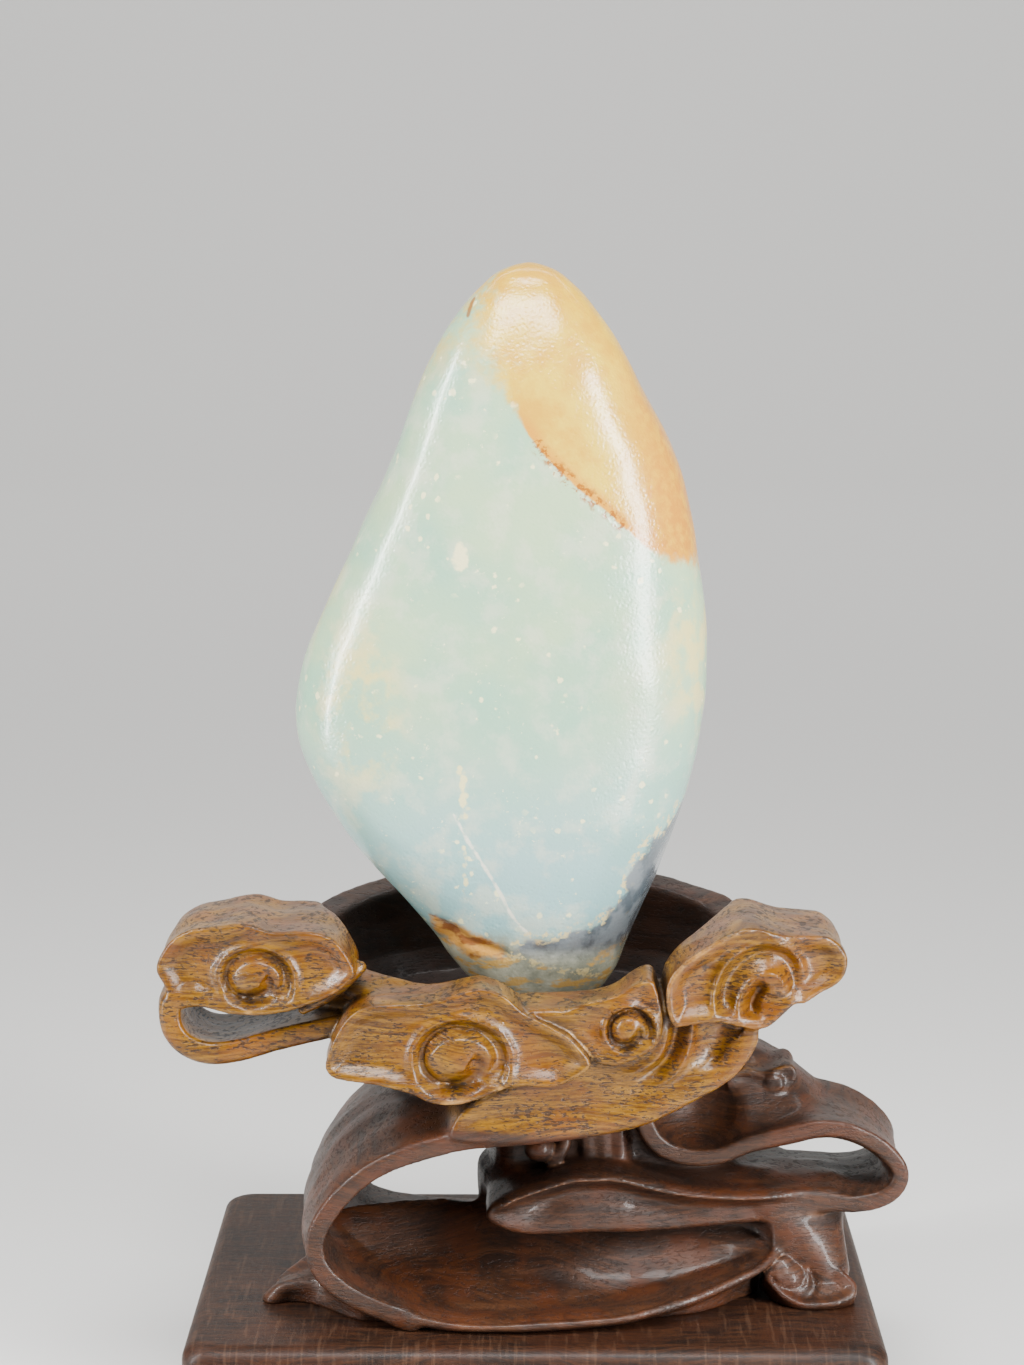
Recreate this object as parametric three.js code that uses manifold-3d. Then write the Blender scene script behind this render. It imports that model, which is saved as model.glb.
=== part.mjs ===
// Jade pebble on a carved wooden cloud stand, in millimetres.
// +X is the viewer's right, +Y points away from the viewer, +Z is up.
// The origin is the middle of the plinth's underside.

import * as THREE from 'three';
import { mergeVertices } from 'three/addons/utils/BufferGeometryUtils.js';
import Module from 'manifold-3d';

const wasm = await Module();
wasm.setup();

// Plinth
const PLINTH_WIDTH = 100;
const PLINTH_DEPTH = 68.8;
const PLINTH_HEIGHT = 20;
const PLINTH_CORNER = 3.5;
const PLINTH_SHOULDER = 2.5;

// Pebble: an upright loft between two side outlines
const PEBBLE_MIDDLE = 114.5;
const PEBBLE_HALF_HEIGHT = 56;
const PEBBLE_AROUND = 36;
const PEBBLE_RINGS = 22;
const PEBBLE_LEFT = [-1.0, -6.8, -11.7, -16.5, -21.1, -27.0, -33.7, -34.4, -27.2, -17.0, -10.4, -4.2, 1.2];
const PEBBLE_RIGHT = [-1.0, 4.4, 9.4, 15.0, 20.4, 23.9, 25.2, 23.9, 20.3, 16.0, 11.6, 6.6, 1.2];
const PEBBLE_HALF_DEPTH = [0, 4.5, 8, 11, 13.2, 14.8, 15.8, 16, 15, 12.5, 9, 5, 0];
const SOCKET_GAP = 0.3;

// Cup
const CUP_X = -1;
const CUP_HALF_WIDTH = 35.5;
const CUP_HALF_DEPTH = 27;
const CAVITY_HALF_WIDTH = 30.6;
const CAVITY_HALF_DEPTH = 21.5;
const CUP_FLOOR = 61;
const CUP_AROUND = 36;
const RIM_RISE = 5;
const RIM_BLEND = [52, 71];
const CUP_PROFILE = [
  [0, 47], [0.4, 47], [0.52, 49], [0.64, 52], [0.77, 56.5], [0.88, 62], [0.96, 67], [1, 71], [0.98, 71.8],
  [0, 71.8],
];
const CAVITY_PROFILE = [
  [0, CUP_FLOOR], [0.6, CUP_FLOOR], [0.76, 62.4], [0.87, 65.5], [0.95, 70], [1, 76], [1.02, 90], [0, 90],
];

// Carved sheet
const SHEET = 2.8;
const SHEET_FRONT = -27;
const SHEET_BACK = 20;
const SHEET_EASE = 0.5;
const END_REACH = 0.8;

// Turns a closed geometry into a solid.
function solid(geometry) {
  const bare = geometry.clone();
  bare.deleteAttribute('normal');
  bare.deleteAttribute('uv');
  const merged = mergeVertices(bare, 1e-4);
  return new wasm.Manifold(new wasm.Mesh({
    numProp: 3,
    vertProperties: new Float32Array(merged.attributes.position.array),
    triVerts: new Uint32Array(merged.index.array),
  }));
}

// Turns a solid back into a geometry.
function geometryOf(body) {
  const mesh = body.getMesh();
  const geometry = new THREE.BufferGeometry();
  geometry.setAttribute('position', new THREE.BufferAttribute(mesh.vertProperties, 3));
  geometry.setIndex(new THREE.BufferAttribute(mesh.triVerts, 1));
  geometry.computeVertexNormals();
  return geometry;
}

const join = (bodies) => bodies.reduce((whole, body) => whole.add(body));

// Moves every vertex of a geometry by a rule.
function reshape(geometry, rule) {
  const place = geometry.attributes.position;
  const point = new THREE.Vector3();
  for (let i = 0; i < place.count; i += 1) {
    point.fromBufferAttribute(place, i);
    rule(point);
    place.setXYZ(i, point.x, point.y, point.z);
  }
  return geometry;
}

// Reads a value between evenly spaced stations.
function between(list, position) {
  const last = list.length - 1;
  const clamped = Math.min(Math.max(position, 0), last);
  const i = Math.min(Math.floor(clamped), last - 1);
  const t = clamped - i;
  const before = list[Math.max(i - 1, 0)];
  const after = list[Math.min(i + 2, last)];
  const slopeA = (list[i + 1] - before) / 2;
  const slopeB = (after - list[i]) / 2;
  const a = 2 * t ** 3 - 3 * t ** 2 + 1;
  const b = t ** 3 - 2 * t ** 2 + t;
  const c = 3 * t ** 2 - 2 * t ** 3;
  const d = t ** 3 - t ** 2;
  return a * list[i] + b * slopeA + c * list[i + 1] + d * slopeB;
}

// A smooth closed outline through a few points.
function smoothOutline(points, count) {
  const knots = points.map(([x, y]) => new THREE.Vector3(x, y, 0));
  const curve = new THREE.CatmullRomCurve3(knots, true, 'centripetal');
  return curve.getPoints(count).slice(0, count).map((p) => new THREE.Vector2(p.x, p.y));
}

// A flat outline given depth along +Z, with its edges eased at both faces.
function easedExtrusion(outline, depth, ease) {
  const count = outline.length;
  const inwards = Math.sign(THREE.ShapeUtils.area(outline)) * ease;
  const inner = outline.map((p, i) => {
    const along = outline[(i + 1) % count].clone().sub(outline[(i + count - 1) % count]).normalize();
    return new THREE.Vector2(p.x - along.y * inwards, p.y + along.x * inwards);
  });
  const nearest = (p) => outline.reduce((best, q, i) => {
    const far = Math.hypot(q.x - p.x, q.y - p.y);
    return far < best.far ? { far, i } : best;
  }, { far: Infinity, i: 0 }).i;
  const layers = 3;
  const heights = [0, ease, depth - ease, depth];
  const geometry = new THREE.ExtrudeGeometry(new THREE.Shape(outline), {
    depth: layers,
    steps: layers,
    bevelEnabled: false,
    curveSegments: 1,
  });
  return reshape(geometry, (p) => {
    const layer = Math.round(p.z);
    if (layer === 0 || layer === layers) {
      const q = inner[nearest(p)];
      p.x = q.x;
      p.y = q.y;
    }
    p.z = heights[layer];
  });
}

// A front view outline, given as x and z, made into a body between two depths.
function slab(points, front, back, { ease = 1.1, count = 30, turn = 0, about = 0 } = {}) {
  const geometry = easedExtrusion(smoothOutline(points, count), back - front, ease);
  geometry.rotateX(Math.PI / 2);
  geometry.translate(-about, back - front, 0);
  geometry.rotateZ(THREE.MathUtils.degToRad(turn));
  geometry.translate(about, front, 0);
  return solid(geometry);
}

// A carved sheet that follows a path in the front view.
function sheet(path, thickness, front, back, count = 26) {
  const knots = path.map(([x, z]) => new THREE.Vector3(x, z, 0));
  const curve = new THREE.CatmullRomCurve3(knots, false, 'centripetal');
  const half = thickness / 2;
  const left = [];
  const right = [];
  for (let i = 0; i <= count; i += 1) {
    const p = curve.getPointAt(i / count);
    const t = curve.getTangentAt(i / count);
    left.push(new THREE.Vector2(p.x - t.y * half, p.y + t.x * half));
    right.unshift(new THREE.Vector2(p.x + t.y * half, p.y - t.x * half));
  }
  const cap = (at, sign) => {
    const p = curve.getPointAt(at);
    const t = curve.getTangentAt(at);
    const reach = sign * half * END_REACH;
    return new THREE.Vector2(p.x + t.x * reach, p.y + t.y * reach);
  };
  const outline = [...left, cap(1, 1), ...right, cap(0, -1)];
  const geometry = easedExtrusion(outline, back - front, SHEET_EASE);
  geometry.rotateX(Math.PI / 2);
  geometry.translate(0, back, 0);
  return solid(geometry);
}

// A rounded prism that stands on the plinth, given by its plan.
function prism(plan, bottom, top, count = 24) {
  const shape = new THREE.Shape(smoothOutline(plan, count));
  const settings = { depth: top - bottom, bevelEnabled: false, curveSegments: 1 };
  const geometry = new THREE.ExtrudeGeometry(shape, settings);
  geometry.translate(0, 0, bottom);
  return solid(geometry);
}

// A low round boss on an upright face, turned about the vertical
function boss([x, y, z], radius, rise, turn = 0) {
  const geometry = new THREE.SphereGeometry(1, 12, 6);
  geometry.scale(radius, rise, radius);
  geometry.rotateZ(THREE.MathUtils.degToRad(turn));
  geometry.translate(x, y, z);
  return solid(geometry);
}

// A cloud scroll in relief: a spiral ridge round a low boss.
function scroll([x, z], face, radius, { turns = 1.1, start = -0.6, hand = 1 } = {}) {
  const steps = 12;
  const inwards = 0.62;
  const rise = 1.3;
  const points = [];
  for (let i = 0; i <= steps; i += 1) {
    const s = i / steps;
    const angle = start + hand * s * turns * 2 * Math.PI;
    const r = radius * (1 - inwards * s);
    points.push(new THREE.Vector3(x + r * Math.cos(angle), face, z + r * Math.sin(angle)));
  }
  const width = radius * 0.17;
  const top = 0.9 * rise;
  const section = new THREE.Shape([
    new THREE.Vector2(-rise, -width),
    new THREE.Vector2(top, -0.5 * width),
    new THREE.Vector2(top, 0.5 * width),
    new THREE.Vector2(-rise, width),
  ]);
  const path = new THREE.CatmullRomCurve3(points);
  const ridge = new THREE.ExtrudeGeometry(section, { steps, extrudePath: path, bevelEnabled: false });
  return [solid(ridge), boss([x, face, z], 0.3 * radius, 1.3 * rise)];
}

// The pebble, or the same form grown by a margin
function pebbleGeometry(margin) {
  const geometry = new THREE.SphereGeometry(1, PEBBLE_AROUND, PEBBLE_RINGS);
  geometry.rotateX(Math.PI / 2);
  const last = PEBBLE_LEFT.length - 1;
  return reshape(geometry, (p) => {
    const lift = Math.asin(Math.min(Math.max(p.z, -1), 1));
    const station = ((Math.PI / 2 - lift) / Math.PI) * last;
    const left = between(PEBBLE_LEFT, station);
    const right = between(PEBBLE_RIGHT, station);
    const deep = Math.max(between(PEBBLE_HALF_DEPTH, station), 0);
    const flat = Math.hypot(p.x, p.y);
    const c = flat > 1e-9 ? p.x / flat : 0;
    const s = flat > 1e-9 ? p.y / flat : 0;
    const power = s > 0 ? 2.4 : c < 0 ? 3.0 : 2.5;
    const reach = flat > 1e-6 ? (Math.abs(c) ** power + Math.abs(s) ** power) ** (-1 / power) : 0;
    const z = p.z;
    p.x = (left + right) / 2 + reach * c * ((right - left) / 2 + margin);
    p.y = reach * s * (deep + margin);
    p.z = PEBBLE_MIDDLE + z * (PEBBLE_HALF_HEIGHT + margin);
  });
}

// A round form about the upright axis, from pairs of reach and height
function turned(profile) {
  const line = profile.map(([reach, z]) => new THREE.Vector2(reach, z));
  const geometry = new THREE.LatheGeometry(line, CUP_AROUND);
  geometry.rotateX(Math.PI / 2);
  return geometry;
}

// The cup: an oval bowl whose rim rises to the back
function cupBody() {
  const geometry = reshape(turned(CUP_PROFILE), (p) => {
    p.z += RIM_RISE * p.y * THREE.MathUtils.smoothstep(p.z, ...RIM_BLEND);
    p.x = CUP_X + p.x * CUP_HALF_WIDTH;
    p.y *= CUP_HALF_DEPTH;
  });
  return solid(geometry);
}

function cupCavity() {
  const geometry = reshape(turned(CAVITY_PROFILE), (p) => {
    p.x = CUP_X + p.x * CAVITY_HALF_WIDTH;
    p.y *= CAVITY_HALF_DEPTH;
  });
  return solid(geometry);
}

// Front clouds, each a front view outline of x and z
const CLOUD_LEFT = [
  [-53.9, 71.6], [-52.1, 75.1], [-49.3, 77.0], [-45.6, 77.6], [-41.1, 78.3], [-37.3, 77.4], [-33.9, 77.5],
  [-30.5, 77.3], [-27.8, 75.9], [-25.4, 72.0], [-26.5, 70.2], [-28.5, 68.6], [-32.0, 67.0], [-35.4, 65.9],
  [-39.6, 65.3], [-44.0, 65.4], [-48.5, 66.3], [-51.6, 67.0], [-52.9, 69.1],
];
const CLOUD_FRONT = [
  [-29.5, 59.2], [-28.7, 62.2], [-27.2, 65.2], [-25.5, 67.1], [-22.6, 68.3], [-16.9, 68.6], [-13.5, 69.2],
  [-8.6, 70.7], [-6.1, 70.5], [-3.8, 69.3], [-1.5, 67.3], [3.6, 64.6], [5.4, 63.2], [7.7, 60.2], [7.1, 58.9],
  [5.1, 57.5], [2.2, 56.5], [-3.5, 56.6], [-8.7, 54.5], [-11.8, 53.8], [-14.7, 54.2], [-17.0, 55.4],
  [-21.5, 56.7], [-27.8, 57.5],
];
const CLOUD_SMALL = [
  [2.8, 66.0], [6.7, 68.0], [11.0, 69.1], [14.4, 71.1], [16.5, 71.3], [19.5, 69.5], [22.2, 64.6],
  [21.4, 60.8], [18.0, 57.3], [12.8, 56.2], [8.0, 57.4], [5.5, 60.5],
];
const CLOUD_RIGHT = [
  [18.8, 71.6], [21.2, 74.3], [25.9, 77.2], [28.4, 78.3], [31.0, 78.6], [35.1, 77.4], [39.6, 77.0],
  [41.6, 76.6], [43.3, 75.2], [44.1, 73.5], [43.9, 71.5], [42.8, 69.9], [40.6, 68.6], [38.1, 67.2],
  [36.4, 67.0], [33.2, 64.3], [31.0, 64.0], [28.6, 64.5], [25.6, 65.2], [22.4, 65.0], [19.5, 64.9],
  [18.3, 68.5],
];
const FOLD = [
  [30.5, 64.3], [29.3, 60.6], [26.5, 57.0], [22.2, 54.5], [15.8, 51.8], [7.2, 50.0], [0.7, 49.3], [-8, 49.5],
  [-8, 54.0], [0, 57.5], [9, 60.5], [19, 66.5], [27, 67.5],
];

function frontClouds() {
  return [
    slab(CLOUD_LEFT, -22, -2, { turn: -8, about: -40 }),
    slab(CLOUD_FRONT, -28, -12),
    slab(CLOUD_SMALL, -26, -13),
    slab(CLOUD_RIGHT, -24, -5, { turn: 10, about: 31 }),
    slab(FOLD, -25, -8, { ease: 1.6 }),
    ...scroll([-39.5, 70.2], -22, 5.4, { start: -0.4, turns: 1.15 }),
    ...scroll([-10.4, 60.2], -28, 6.6, { start: -0.4, turns: 1.1 }),
    ...scroll([13.6, 64.2], -26, 3.7, { start: -1.2, turns: 0.9 }),
    ...scroll([31.5, 70.6], -23.8, 5.6, { start: 3.4, turns: 1.0, hand: -1 }),
  ];
}

// The strip that loops round under the left cloud
const LOOP = [
  [-48.5, 68.0], [-52.2, 66.6], [-52.3, 62.6], [-50.2, 59.8], [-46.5, 58.5], [-41.9, 59.0], [-37, 60.4],
  [-28, 62.6],
];

// Clouds that close the back of the cup
const CLOUD_BACK = [
  [-15.5, 70.0], [-13.5, 74.0], [-8.5, 76.0], [-3, 76.6], [2.5, 76.2], [8, 76.4], [13.5, 74.6], [15.6, 70.5],
  [13.2, 66.2], [7.5, 64.4], [1, 63.0], [-6, 64.2], [-12.5, 66.0],
];
const CLOUD_BACK_SIDE = [
  [-12, 66.0], [-9.5, 70.8], [-4, 73.0], [2, 73.2], [8, 72.0], [11.8, 68.0], [10.5, 63.4], [4.5, 60.8],
  [-3, 60.6], [-9.5, 62.2],
];

function backClouds() {
  const mirror = (points) => points.map(([x, z]) => [-x, z]);
  const place = (points, x, y, turn) => {
    const centred = slab(mirror(points), 0, 9, { count: 22 });
    return centred.rotate([0, 0, turn]).translate([x, y, 0]);
  };
  return [
    place(CLOUD_BACK, 0, 17, 0),
    place(CLOUD_BACK_SIDE, -21, 13.5, 34),
    place(CLOUD_BACK_SIDE, 20, 14, -36),
    boss([0, 26, 70], 4.6, 1.6),
    boss([-26.2, 21, 67], 3.6, 1.6, 34),
    boss([25.4, 21.2, 67], 3.6, 1.6, -36),
  ];
}

// The sheet that sweeps from the cup's lip round the left and along the plinth
const SWEEP_UPPER = [
  [28.5, 62], [26, 58.6], [20, 55.4], [12, 51.9], [0, 50.6], [-12, 49.2], [-21.5, 46.2], [-28.5, 41],
  [-32.6, 34.5], [-32.2, 29], [-28, 24.6], [-20, 22], [-12, 21.3],
];
const FOOT_PLAN = [
  [-30, -24.5], [-22, -26.2], [0, -26.6], [14, -25.4], [24, -21.5], [32, -13.5], [36.5, -3], [37, 7],
  [31, 15.5], [18, 19.5], [-10, 20], [-28, 20], [-33, 8], [-34, -10],
];
const FOOT_FRONT_HEIGHT = 21.8;
const FOOT_BACK_HEIGHT = 31;
const FOOT_SLOPE_FRONT = -26.6;
const FOOT_SLOPE_BACK = -4;
const FOOT_BASE_HEIGHT = 23;
const RISE_NARROW = 0.62;
const RISE_X = 14;
const RISE_BACK = 12;
const TROUGH = { middle: [1.5, -15.2, 28.2], radii: [32, 12.6, 5.4] };

// The foot rises from its front lip to a rim under the tongue, and is hollowed like a spoon.
function foot() {
  const slope = Math.atan2(FOOT_BACK_HEIGHT - FOOT_FRONT_HEIGHT, FOOT_SLOPE_BACK - FOOT_SLOPE_FRONT);
  const risePlan = FOOT_PLAN.map(([x, y]) => [x * RISE_NARROW + RISE_X, Math.min(y, RISE_BACK)]);
  const low = prism(FOOT_PLAN, PLINTH_HEIGHT, FOOT_BASE_HEIGHT);
  const high = prism(risePlan, PLINTH_HEIGHT, FOOT_BACK_HEIGHT);
  const above = new THREE.BoxGeometry(140, 80, 40);
  above.translate(0, 0, 20);
  above.rotateX(slope);
  above.translate(0, FOOT_SLOPE_FRONT, FOOT_FRONT_HEIGHT);
  const trough = new THREE.SphereGeometry(1, 22, 10);
  trough.scale(...TROUGH.radii);
  trough.rotateX(slope);
  trough.translate(...TROUGH.middle);
  const behind = new THREE.BoxGeometry(140, 40, 40);
  behind.translate(0, FOOT_SLOPE_BACK - 0.5 + 20, 40);
  const front = high.subtract(solid(behind)).subtract(solid(above));
  const back = high.intersect(solid(behind));
  return join([low, front, back]).subtract(solid(trough));
}

function sweep() {
  return sheet(SWEEP_UPPER, SHEET, SHEET_FRONT, SHEET_BACK).add(foot());
}

// The sheet that curls out to the right, and the tongue that it folds back into
const CURL = [
  [15, 48], [15.9, 44.6], [18.4, 41.6], [22.4, 40.2], [27, 40.4], [31.6, 42.2], [37.3, 43.6], [42, 44.6],
  [46.4, 43.9], [50.5, 41.6], [52.9, 38.4], [51.5, 35.8], [47.5, 34.6], [42, 34.8], [34, 35.2],
];
const SHOULDER = [
  [13, 47], [17, 42], [23, 39.8], [30, 41.2], [37, 43], [42.5, 43.6], [43.6, 45.6], [40.4, 48.2], [36.6, 52],
  [30, 56], [20, 58], [12, 55],
];
const TONGUE = [
  [-7.1, 33.2], [-6.4, 35.4], [-3.5, 37.2], [1.7, 38.8], [5.2, 39.7], [8.7, 39.8], [12.3, 39.6], [19.1, 37.7],
  [24.2, 36.6], [33.0, 36.1], [40, 36.2], [44.5, 35.8], [45.5, 33.8], [42, 32.2], [30, 31], [16, 30.4],
  [8.0, 30.4], [0.3, 30.3], [-3.9, 31.1],
];
const SCOOP = { middle: [13, -16, 34.4], radii: [22, 3.2, 3.6] };
const TRUNK_PLAN = [
  [-8.5, 2], [-7, -4.5], [-2, -7.5], [8, -8], [22, -7], [33, -5], [38, 1], [37.5, 8], [31, 13.5], [15, 15.5],
  [0, 15], [-6.5, 9.5],
];
const TRUNK_STEP = [34, 36];
const TRUNK_TOP = 60;
const TRUNK_NARROW = 0.8;

function folds() {
  const scoop = new THREE.SphereGeometry(1, 24, 10);
  scoop.scale(...SCOOP.radii);
  scoop.translate(...SCOOP.middle);
  const narrowPlan = TRUNK_PLAN.map(([x, y]) => [x * TRUNK_NARROW, y]);
  return join([
    prism(TRUNK_PLAN, PLINTH_HEIGHT, TRUNK_STEP[1]),
    prism(narrowPlan, TRUNK_STEP[0], TRUNK_TOP, 22),
    slab(TONGUE, -15, 2, { ease: 0.8 }).subtract(solid(scoop)),
    sheet(CURL, SHEET, -11.5, 9),
    slab(SHOULDER, -2, 13, { ease: 0.8 }),
  ]);
}

// Small rolled ends of cloud on the folds and on the plinth, each drawn about its own foot
const RIGHT_HEAD = [
  [-6, 0], [-6.5, 4.2], [-4, 7.2], [-1, 9.8], [2.4, 8.4], [6.3, 5.4], [8, 1.6], [6, 0.2], [0, -0.6],
];
const LEFT_WAVE = [[-5, 0], [-4, 3.4], [-1, 4.6], [2.5, 3.2], [6, 1], [8, -0.4], [0, -0.8]];

function knobs() {
  const lowCloud = (points, x, y, lean, front, back) => {
    const body = slab(points, front, back, { ease: 1, count: 22 });
    return body.rotate([-lean, 0, 0]).translate([x, y, PLINTH_HEIGHT]);
  };
  return [
    lowCloud(RIGHT_HEAD, 40, -13, 40, -3.5, 4),
    lowCloud(LEFT_WAVE, -35, -14, 45, -2.5, 4),
    boss([37.2, -12.6, 25.4], 2.8, 2.4),
    boss([3.2, -9.5, 44.2], 2.4, 3),
    boss([37, 1.5, 51.2], 3.0, 5),
    boss([32.4, 1.0, 49.6], 2.4, 4.5),
  ];
}

// The whole stand in one piece, hollowed for the pebble and cut flat where it meets the plinth
function standBody(socket) {
  const loop = sheet(LOOP, 3.2, -20, -4, 22);
  const raw = join([cupBody(), ...frontClouds(), loop, ...backClouds()]);
  const cup = raw.subtract(cupCavity());
  const above = new THREE.BoxGeometry(2 * PLINTH_WIDTH, 2 * PLINTH_WIDTH, PLINTH_WIDTH);
  above.translate(0, 0, PLINTH_HEIGHT + PLINTH_WIDTH / 2);
  const whole = join([cup, sweep(), folds(), ...knobs()]);
  return whole.intersect(solid(above)).subtract(socket);
}

// The plinth: a block with rounded corners and a rounded shoulder
function plinthGeometry() {
  const x = PLINTH_WIDTH / 2;
  const y = PLINTH_DEPTH / 2;
  const r = PLINTH_CORNER;
  const shape = new THREE.Shape();
  shape.moveTo(-x + r, -y);
  shape.lineTo(x - r, -y);
  shape.absarc(x - r, -y + r, r, -Math.PI / 2, 0);
  shape.absarc(x - r, y - r, r, 0, Math.PI / 2);
  shape.absarc(-x + r, y - r, r, Math.PI / 2, Math.PI);
  shape.absarc(-x + r, -y + r, r, Math.PI, 1.5 * Math.PI);
  const geometry = new THREE.ExtrudeGeometry(shape, {
    depth: PLINTH_HEIGHT - 2 * PLINTH_SHOULDER,
    bevelThickness: PLINTH_SHOULDER,
    bevelSize: PLINTH_SHOULDER,
    bevelOffset: -PLINTH_SHOULDER,
    bevelSegments: 3,
    curveSegments: 4,
  });
  geometry.translate(0, 0, PLINTH_SHOULDER);
  return geometry;
}

function material(name, color, roughness) {
  return new THREE.MeshStandardMaterial({ name, color, roughness, metalness: 0 });
}

const jade = material('jade', 0xd9e1d6, 0.3);
const cloudWood = material('cloud_wood', 0x8a5a34, 0.38);
const plinthWood = material('plinth_wood', 0x4a2c18, 0.4);

function named(name, geometry, finish) {
  const mesh = new THREE.Mesh(geometry, finish);
  mesh.name = name;
  return mesh;
}

const stand = standBody(solid(pebbleGeometry(SOCKET_GAP)));
const group = new THREE.Group();
group.add(named('jade_pebble', pebbleGeometry(0), jade));
group.add(named('cloud_stand', geometryOf(stand), cloudWood));
group.add(named('plinth', plinthGeometry(), plinthWood));

export default group;
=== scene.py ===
# Jade pebble on a carved wooden cloud stand: the looks.
# Shapes are worked out in millimetres and made into meshes in metres.

import math
import bpy
import numpy as np
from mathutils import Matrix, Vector


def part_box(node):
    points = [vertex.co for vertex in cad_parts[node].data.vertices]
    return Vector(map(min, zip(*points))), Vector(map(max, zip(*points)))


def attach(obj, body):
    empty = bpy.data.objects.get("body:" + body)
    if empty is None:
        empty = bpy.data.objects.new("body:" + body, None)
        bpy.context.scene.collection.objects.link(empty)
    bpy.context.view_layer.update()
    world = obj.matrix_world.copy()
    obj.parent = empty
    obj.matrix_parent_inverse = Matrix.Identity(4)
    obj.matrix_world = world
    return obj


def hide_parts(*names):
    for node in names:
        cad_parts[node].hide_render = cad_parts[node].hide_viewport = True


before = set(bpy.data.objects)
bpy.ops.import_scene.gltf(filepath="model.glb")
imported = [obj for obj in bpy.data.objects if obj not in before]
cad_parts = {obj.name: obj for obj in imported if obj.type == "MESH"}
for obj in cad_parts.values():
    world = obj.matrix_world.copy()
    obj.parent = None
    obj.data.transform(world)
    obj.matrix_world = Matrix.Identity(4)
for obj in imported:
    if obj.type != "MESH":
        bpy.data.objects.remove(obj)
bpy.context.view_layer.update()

MM = 0.001

# Camera, worked out from the plinth's edges in the photograph
CAMERA_PLACE = (0.0, -438.8, 183.1)
CAMERA_DOWN = 9.53
CAMERA_LEFT = 0.452
FOCAL_PIXELS = 3036.0
IMAGE_HEIGHT = 1365.0
SENSOR = 36.0

# Plinth
PLINTH_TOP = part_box("plinth")[1][2] / MM
PLINTH_HALF_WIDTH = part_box("plinth")[1][0] / MM
PLINTH_HALF_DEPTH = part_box("plinth")[1][1] / MM
PLINTH_CORNER = 3.5
PLINTH_SHOULDER = 2.5
SHOULDER_STEPS = 7

# Pebble: an upright loft between two side outlines
PEBBLE_MIDDLE = 114.5
PEBBLE_HALF_HEIGHT = 56.0
PEBBLE_LEFT = [-1.0, -6.8, -11.7, -16.5, -21.1, -27.0, -33.7, -34.4, -27.2, -17.0, -10.4, -4.2, 1.2]
PEBBLE_RIGHT = [-1.0, 4.4, 9.4, 15.0, 20.4, 23.9, 25.2, 23.9, 20.3, 16.0, 11.6, 6.6, 1.2]
PEBBLE_NET = ((340, 270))
PEBBLE_HALF_DEPTH = [0, 4.5, 8, 11, 13.2, 14.8, 15.8, 16, 15, 12.5, 9, 5, 0]

# Cup
CUP_X = -1.0
CUP_HALF = (35.5, 27.0)
CAVITY_HALF = (30.6, 21.5)
CUP_FLOOR = 61.0
RIM_RISE = 5.0
RIM_HEIGHT = 71.8

# Grid that the carving is worked out on
CARVE_LOW = (-55.6, -31.2, 19.2)
CARVE_HIGH = (55.6, 29.6, 80.4)
CARVE_STEP = 0.36
MOST_TRIANGLES = 190_000

# Tool marks left on the wood: their height, their size and the seed they wander by
TOOL_MARKS = [(0.1, 8.0, 3), (0.03, 2.6, 4)]
WAVE_COUNT = 5
WAVE_SUM = 2.6
FULL_TURN = 6.28

# How finely curves are followed, and the distance given to places far from the wood
SPAN_STEPS = 12
OUTLINE_POINTS = 110
PATH_POINTS = 90
PLAN_POINTS = 80
STROKE_POINTS = 56
FAR_OFF = 6.0
HUGE = 1e9
TINY = 1e-12
SLIVER = 1e-6
PROBE_SHARE = 0.6
LEAST_SLOPE = 0.05


# Small helpers on numbers


def smoothstep(low, high, value):
    t = np.clip((value - low) / (high - low), 0, 1)
    return t * t * (3 - 2 * t)


def smooth_min(a, b, soft):
    h = np.clip(0.5 + 0.5 * (b - a) / soft, 0, 1)
    return b + (a - b) * h - soft * h * (1 - h)


def smooth_max(a, b, soft):
    return -smooth_min(-a, -b, soft)


def spline(points, count, closed=False):
    """Points evenly spread along a smooth curve through the given ones."""
    p = np.asarray(points, float)
    n = len(p)
    spans = n if closed else n - 1
    pieces = []
    for i in range(spans):
        if closed:
            a, b, c, d = p[(i - 1) % n], p[i], p[(i + 1) % n], p[(i + 2) % n]
        else:
            a, b, c, d = p[max(i - 1, 0)], p[i], p[i + 1], p[min(i + 2, n - 1)]
        t = np.linspace(0, 1, SPAN_STEPS, endpoint=False)[:, None]
        twice = 2 * b + (c - a) * t + (2 * a - 5 * b + 4 * c - d) * t**2 + (3 * b - a - 3 * c + d) * t**3
        pieces.append(0.5 * twice)
    fine = np.vstack(pieces + [p[:1] if closed else p[-1:]])
    along = np.concatenate([[0], np.cumsum(np.linalg.norm(np.diff(fine, axis=0), axis=1))])
    want = np.linspace(0, along[-1], count + 1 if closed else count)
    even = np.stack([np.interp(want, along, fine[:, k]) for k in range(p.shape[1])], axis=1)
    return even[:-1] if closed else even


def between(stations, position):
    """The CAD loft's reading between evenly spaced stations."""
    v = np.asarray(stations, float)
    last = len(v) - 1
    x = np.clip(position, 0, last)
    i = np.minimum(np.floor(x).astype(int), last - 1)
    t = x - i
    slope_a = (v[i + 1] - v[np.maximum(i - 1, 0)]) / 2
    slope_b = (v[np.minimum(i + 2, last)] - v[i]) / 2
    a = 2 * t**3 - 3 * t**2 + 1
    b = t**3 - 2 * t**2 + t
    c = 3 * t**2 - 2 * t**3
    d = t**3 - t**2
    return a * v[i] + b * slope_a + c * v[i + 1] + d * slope_b


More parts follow.
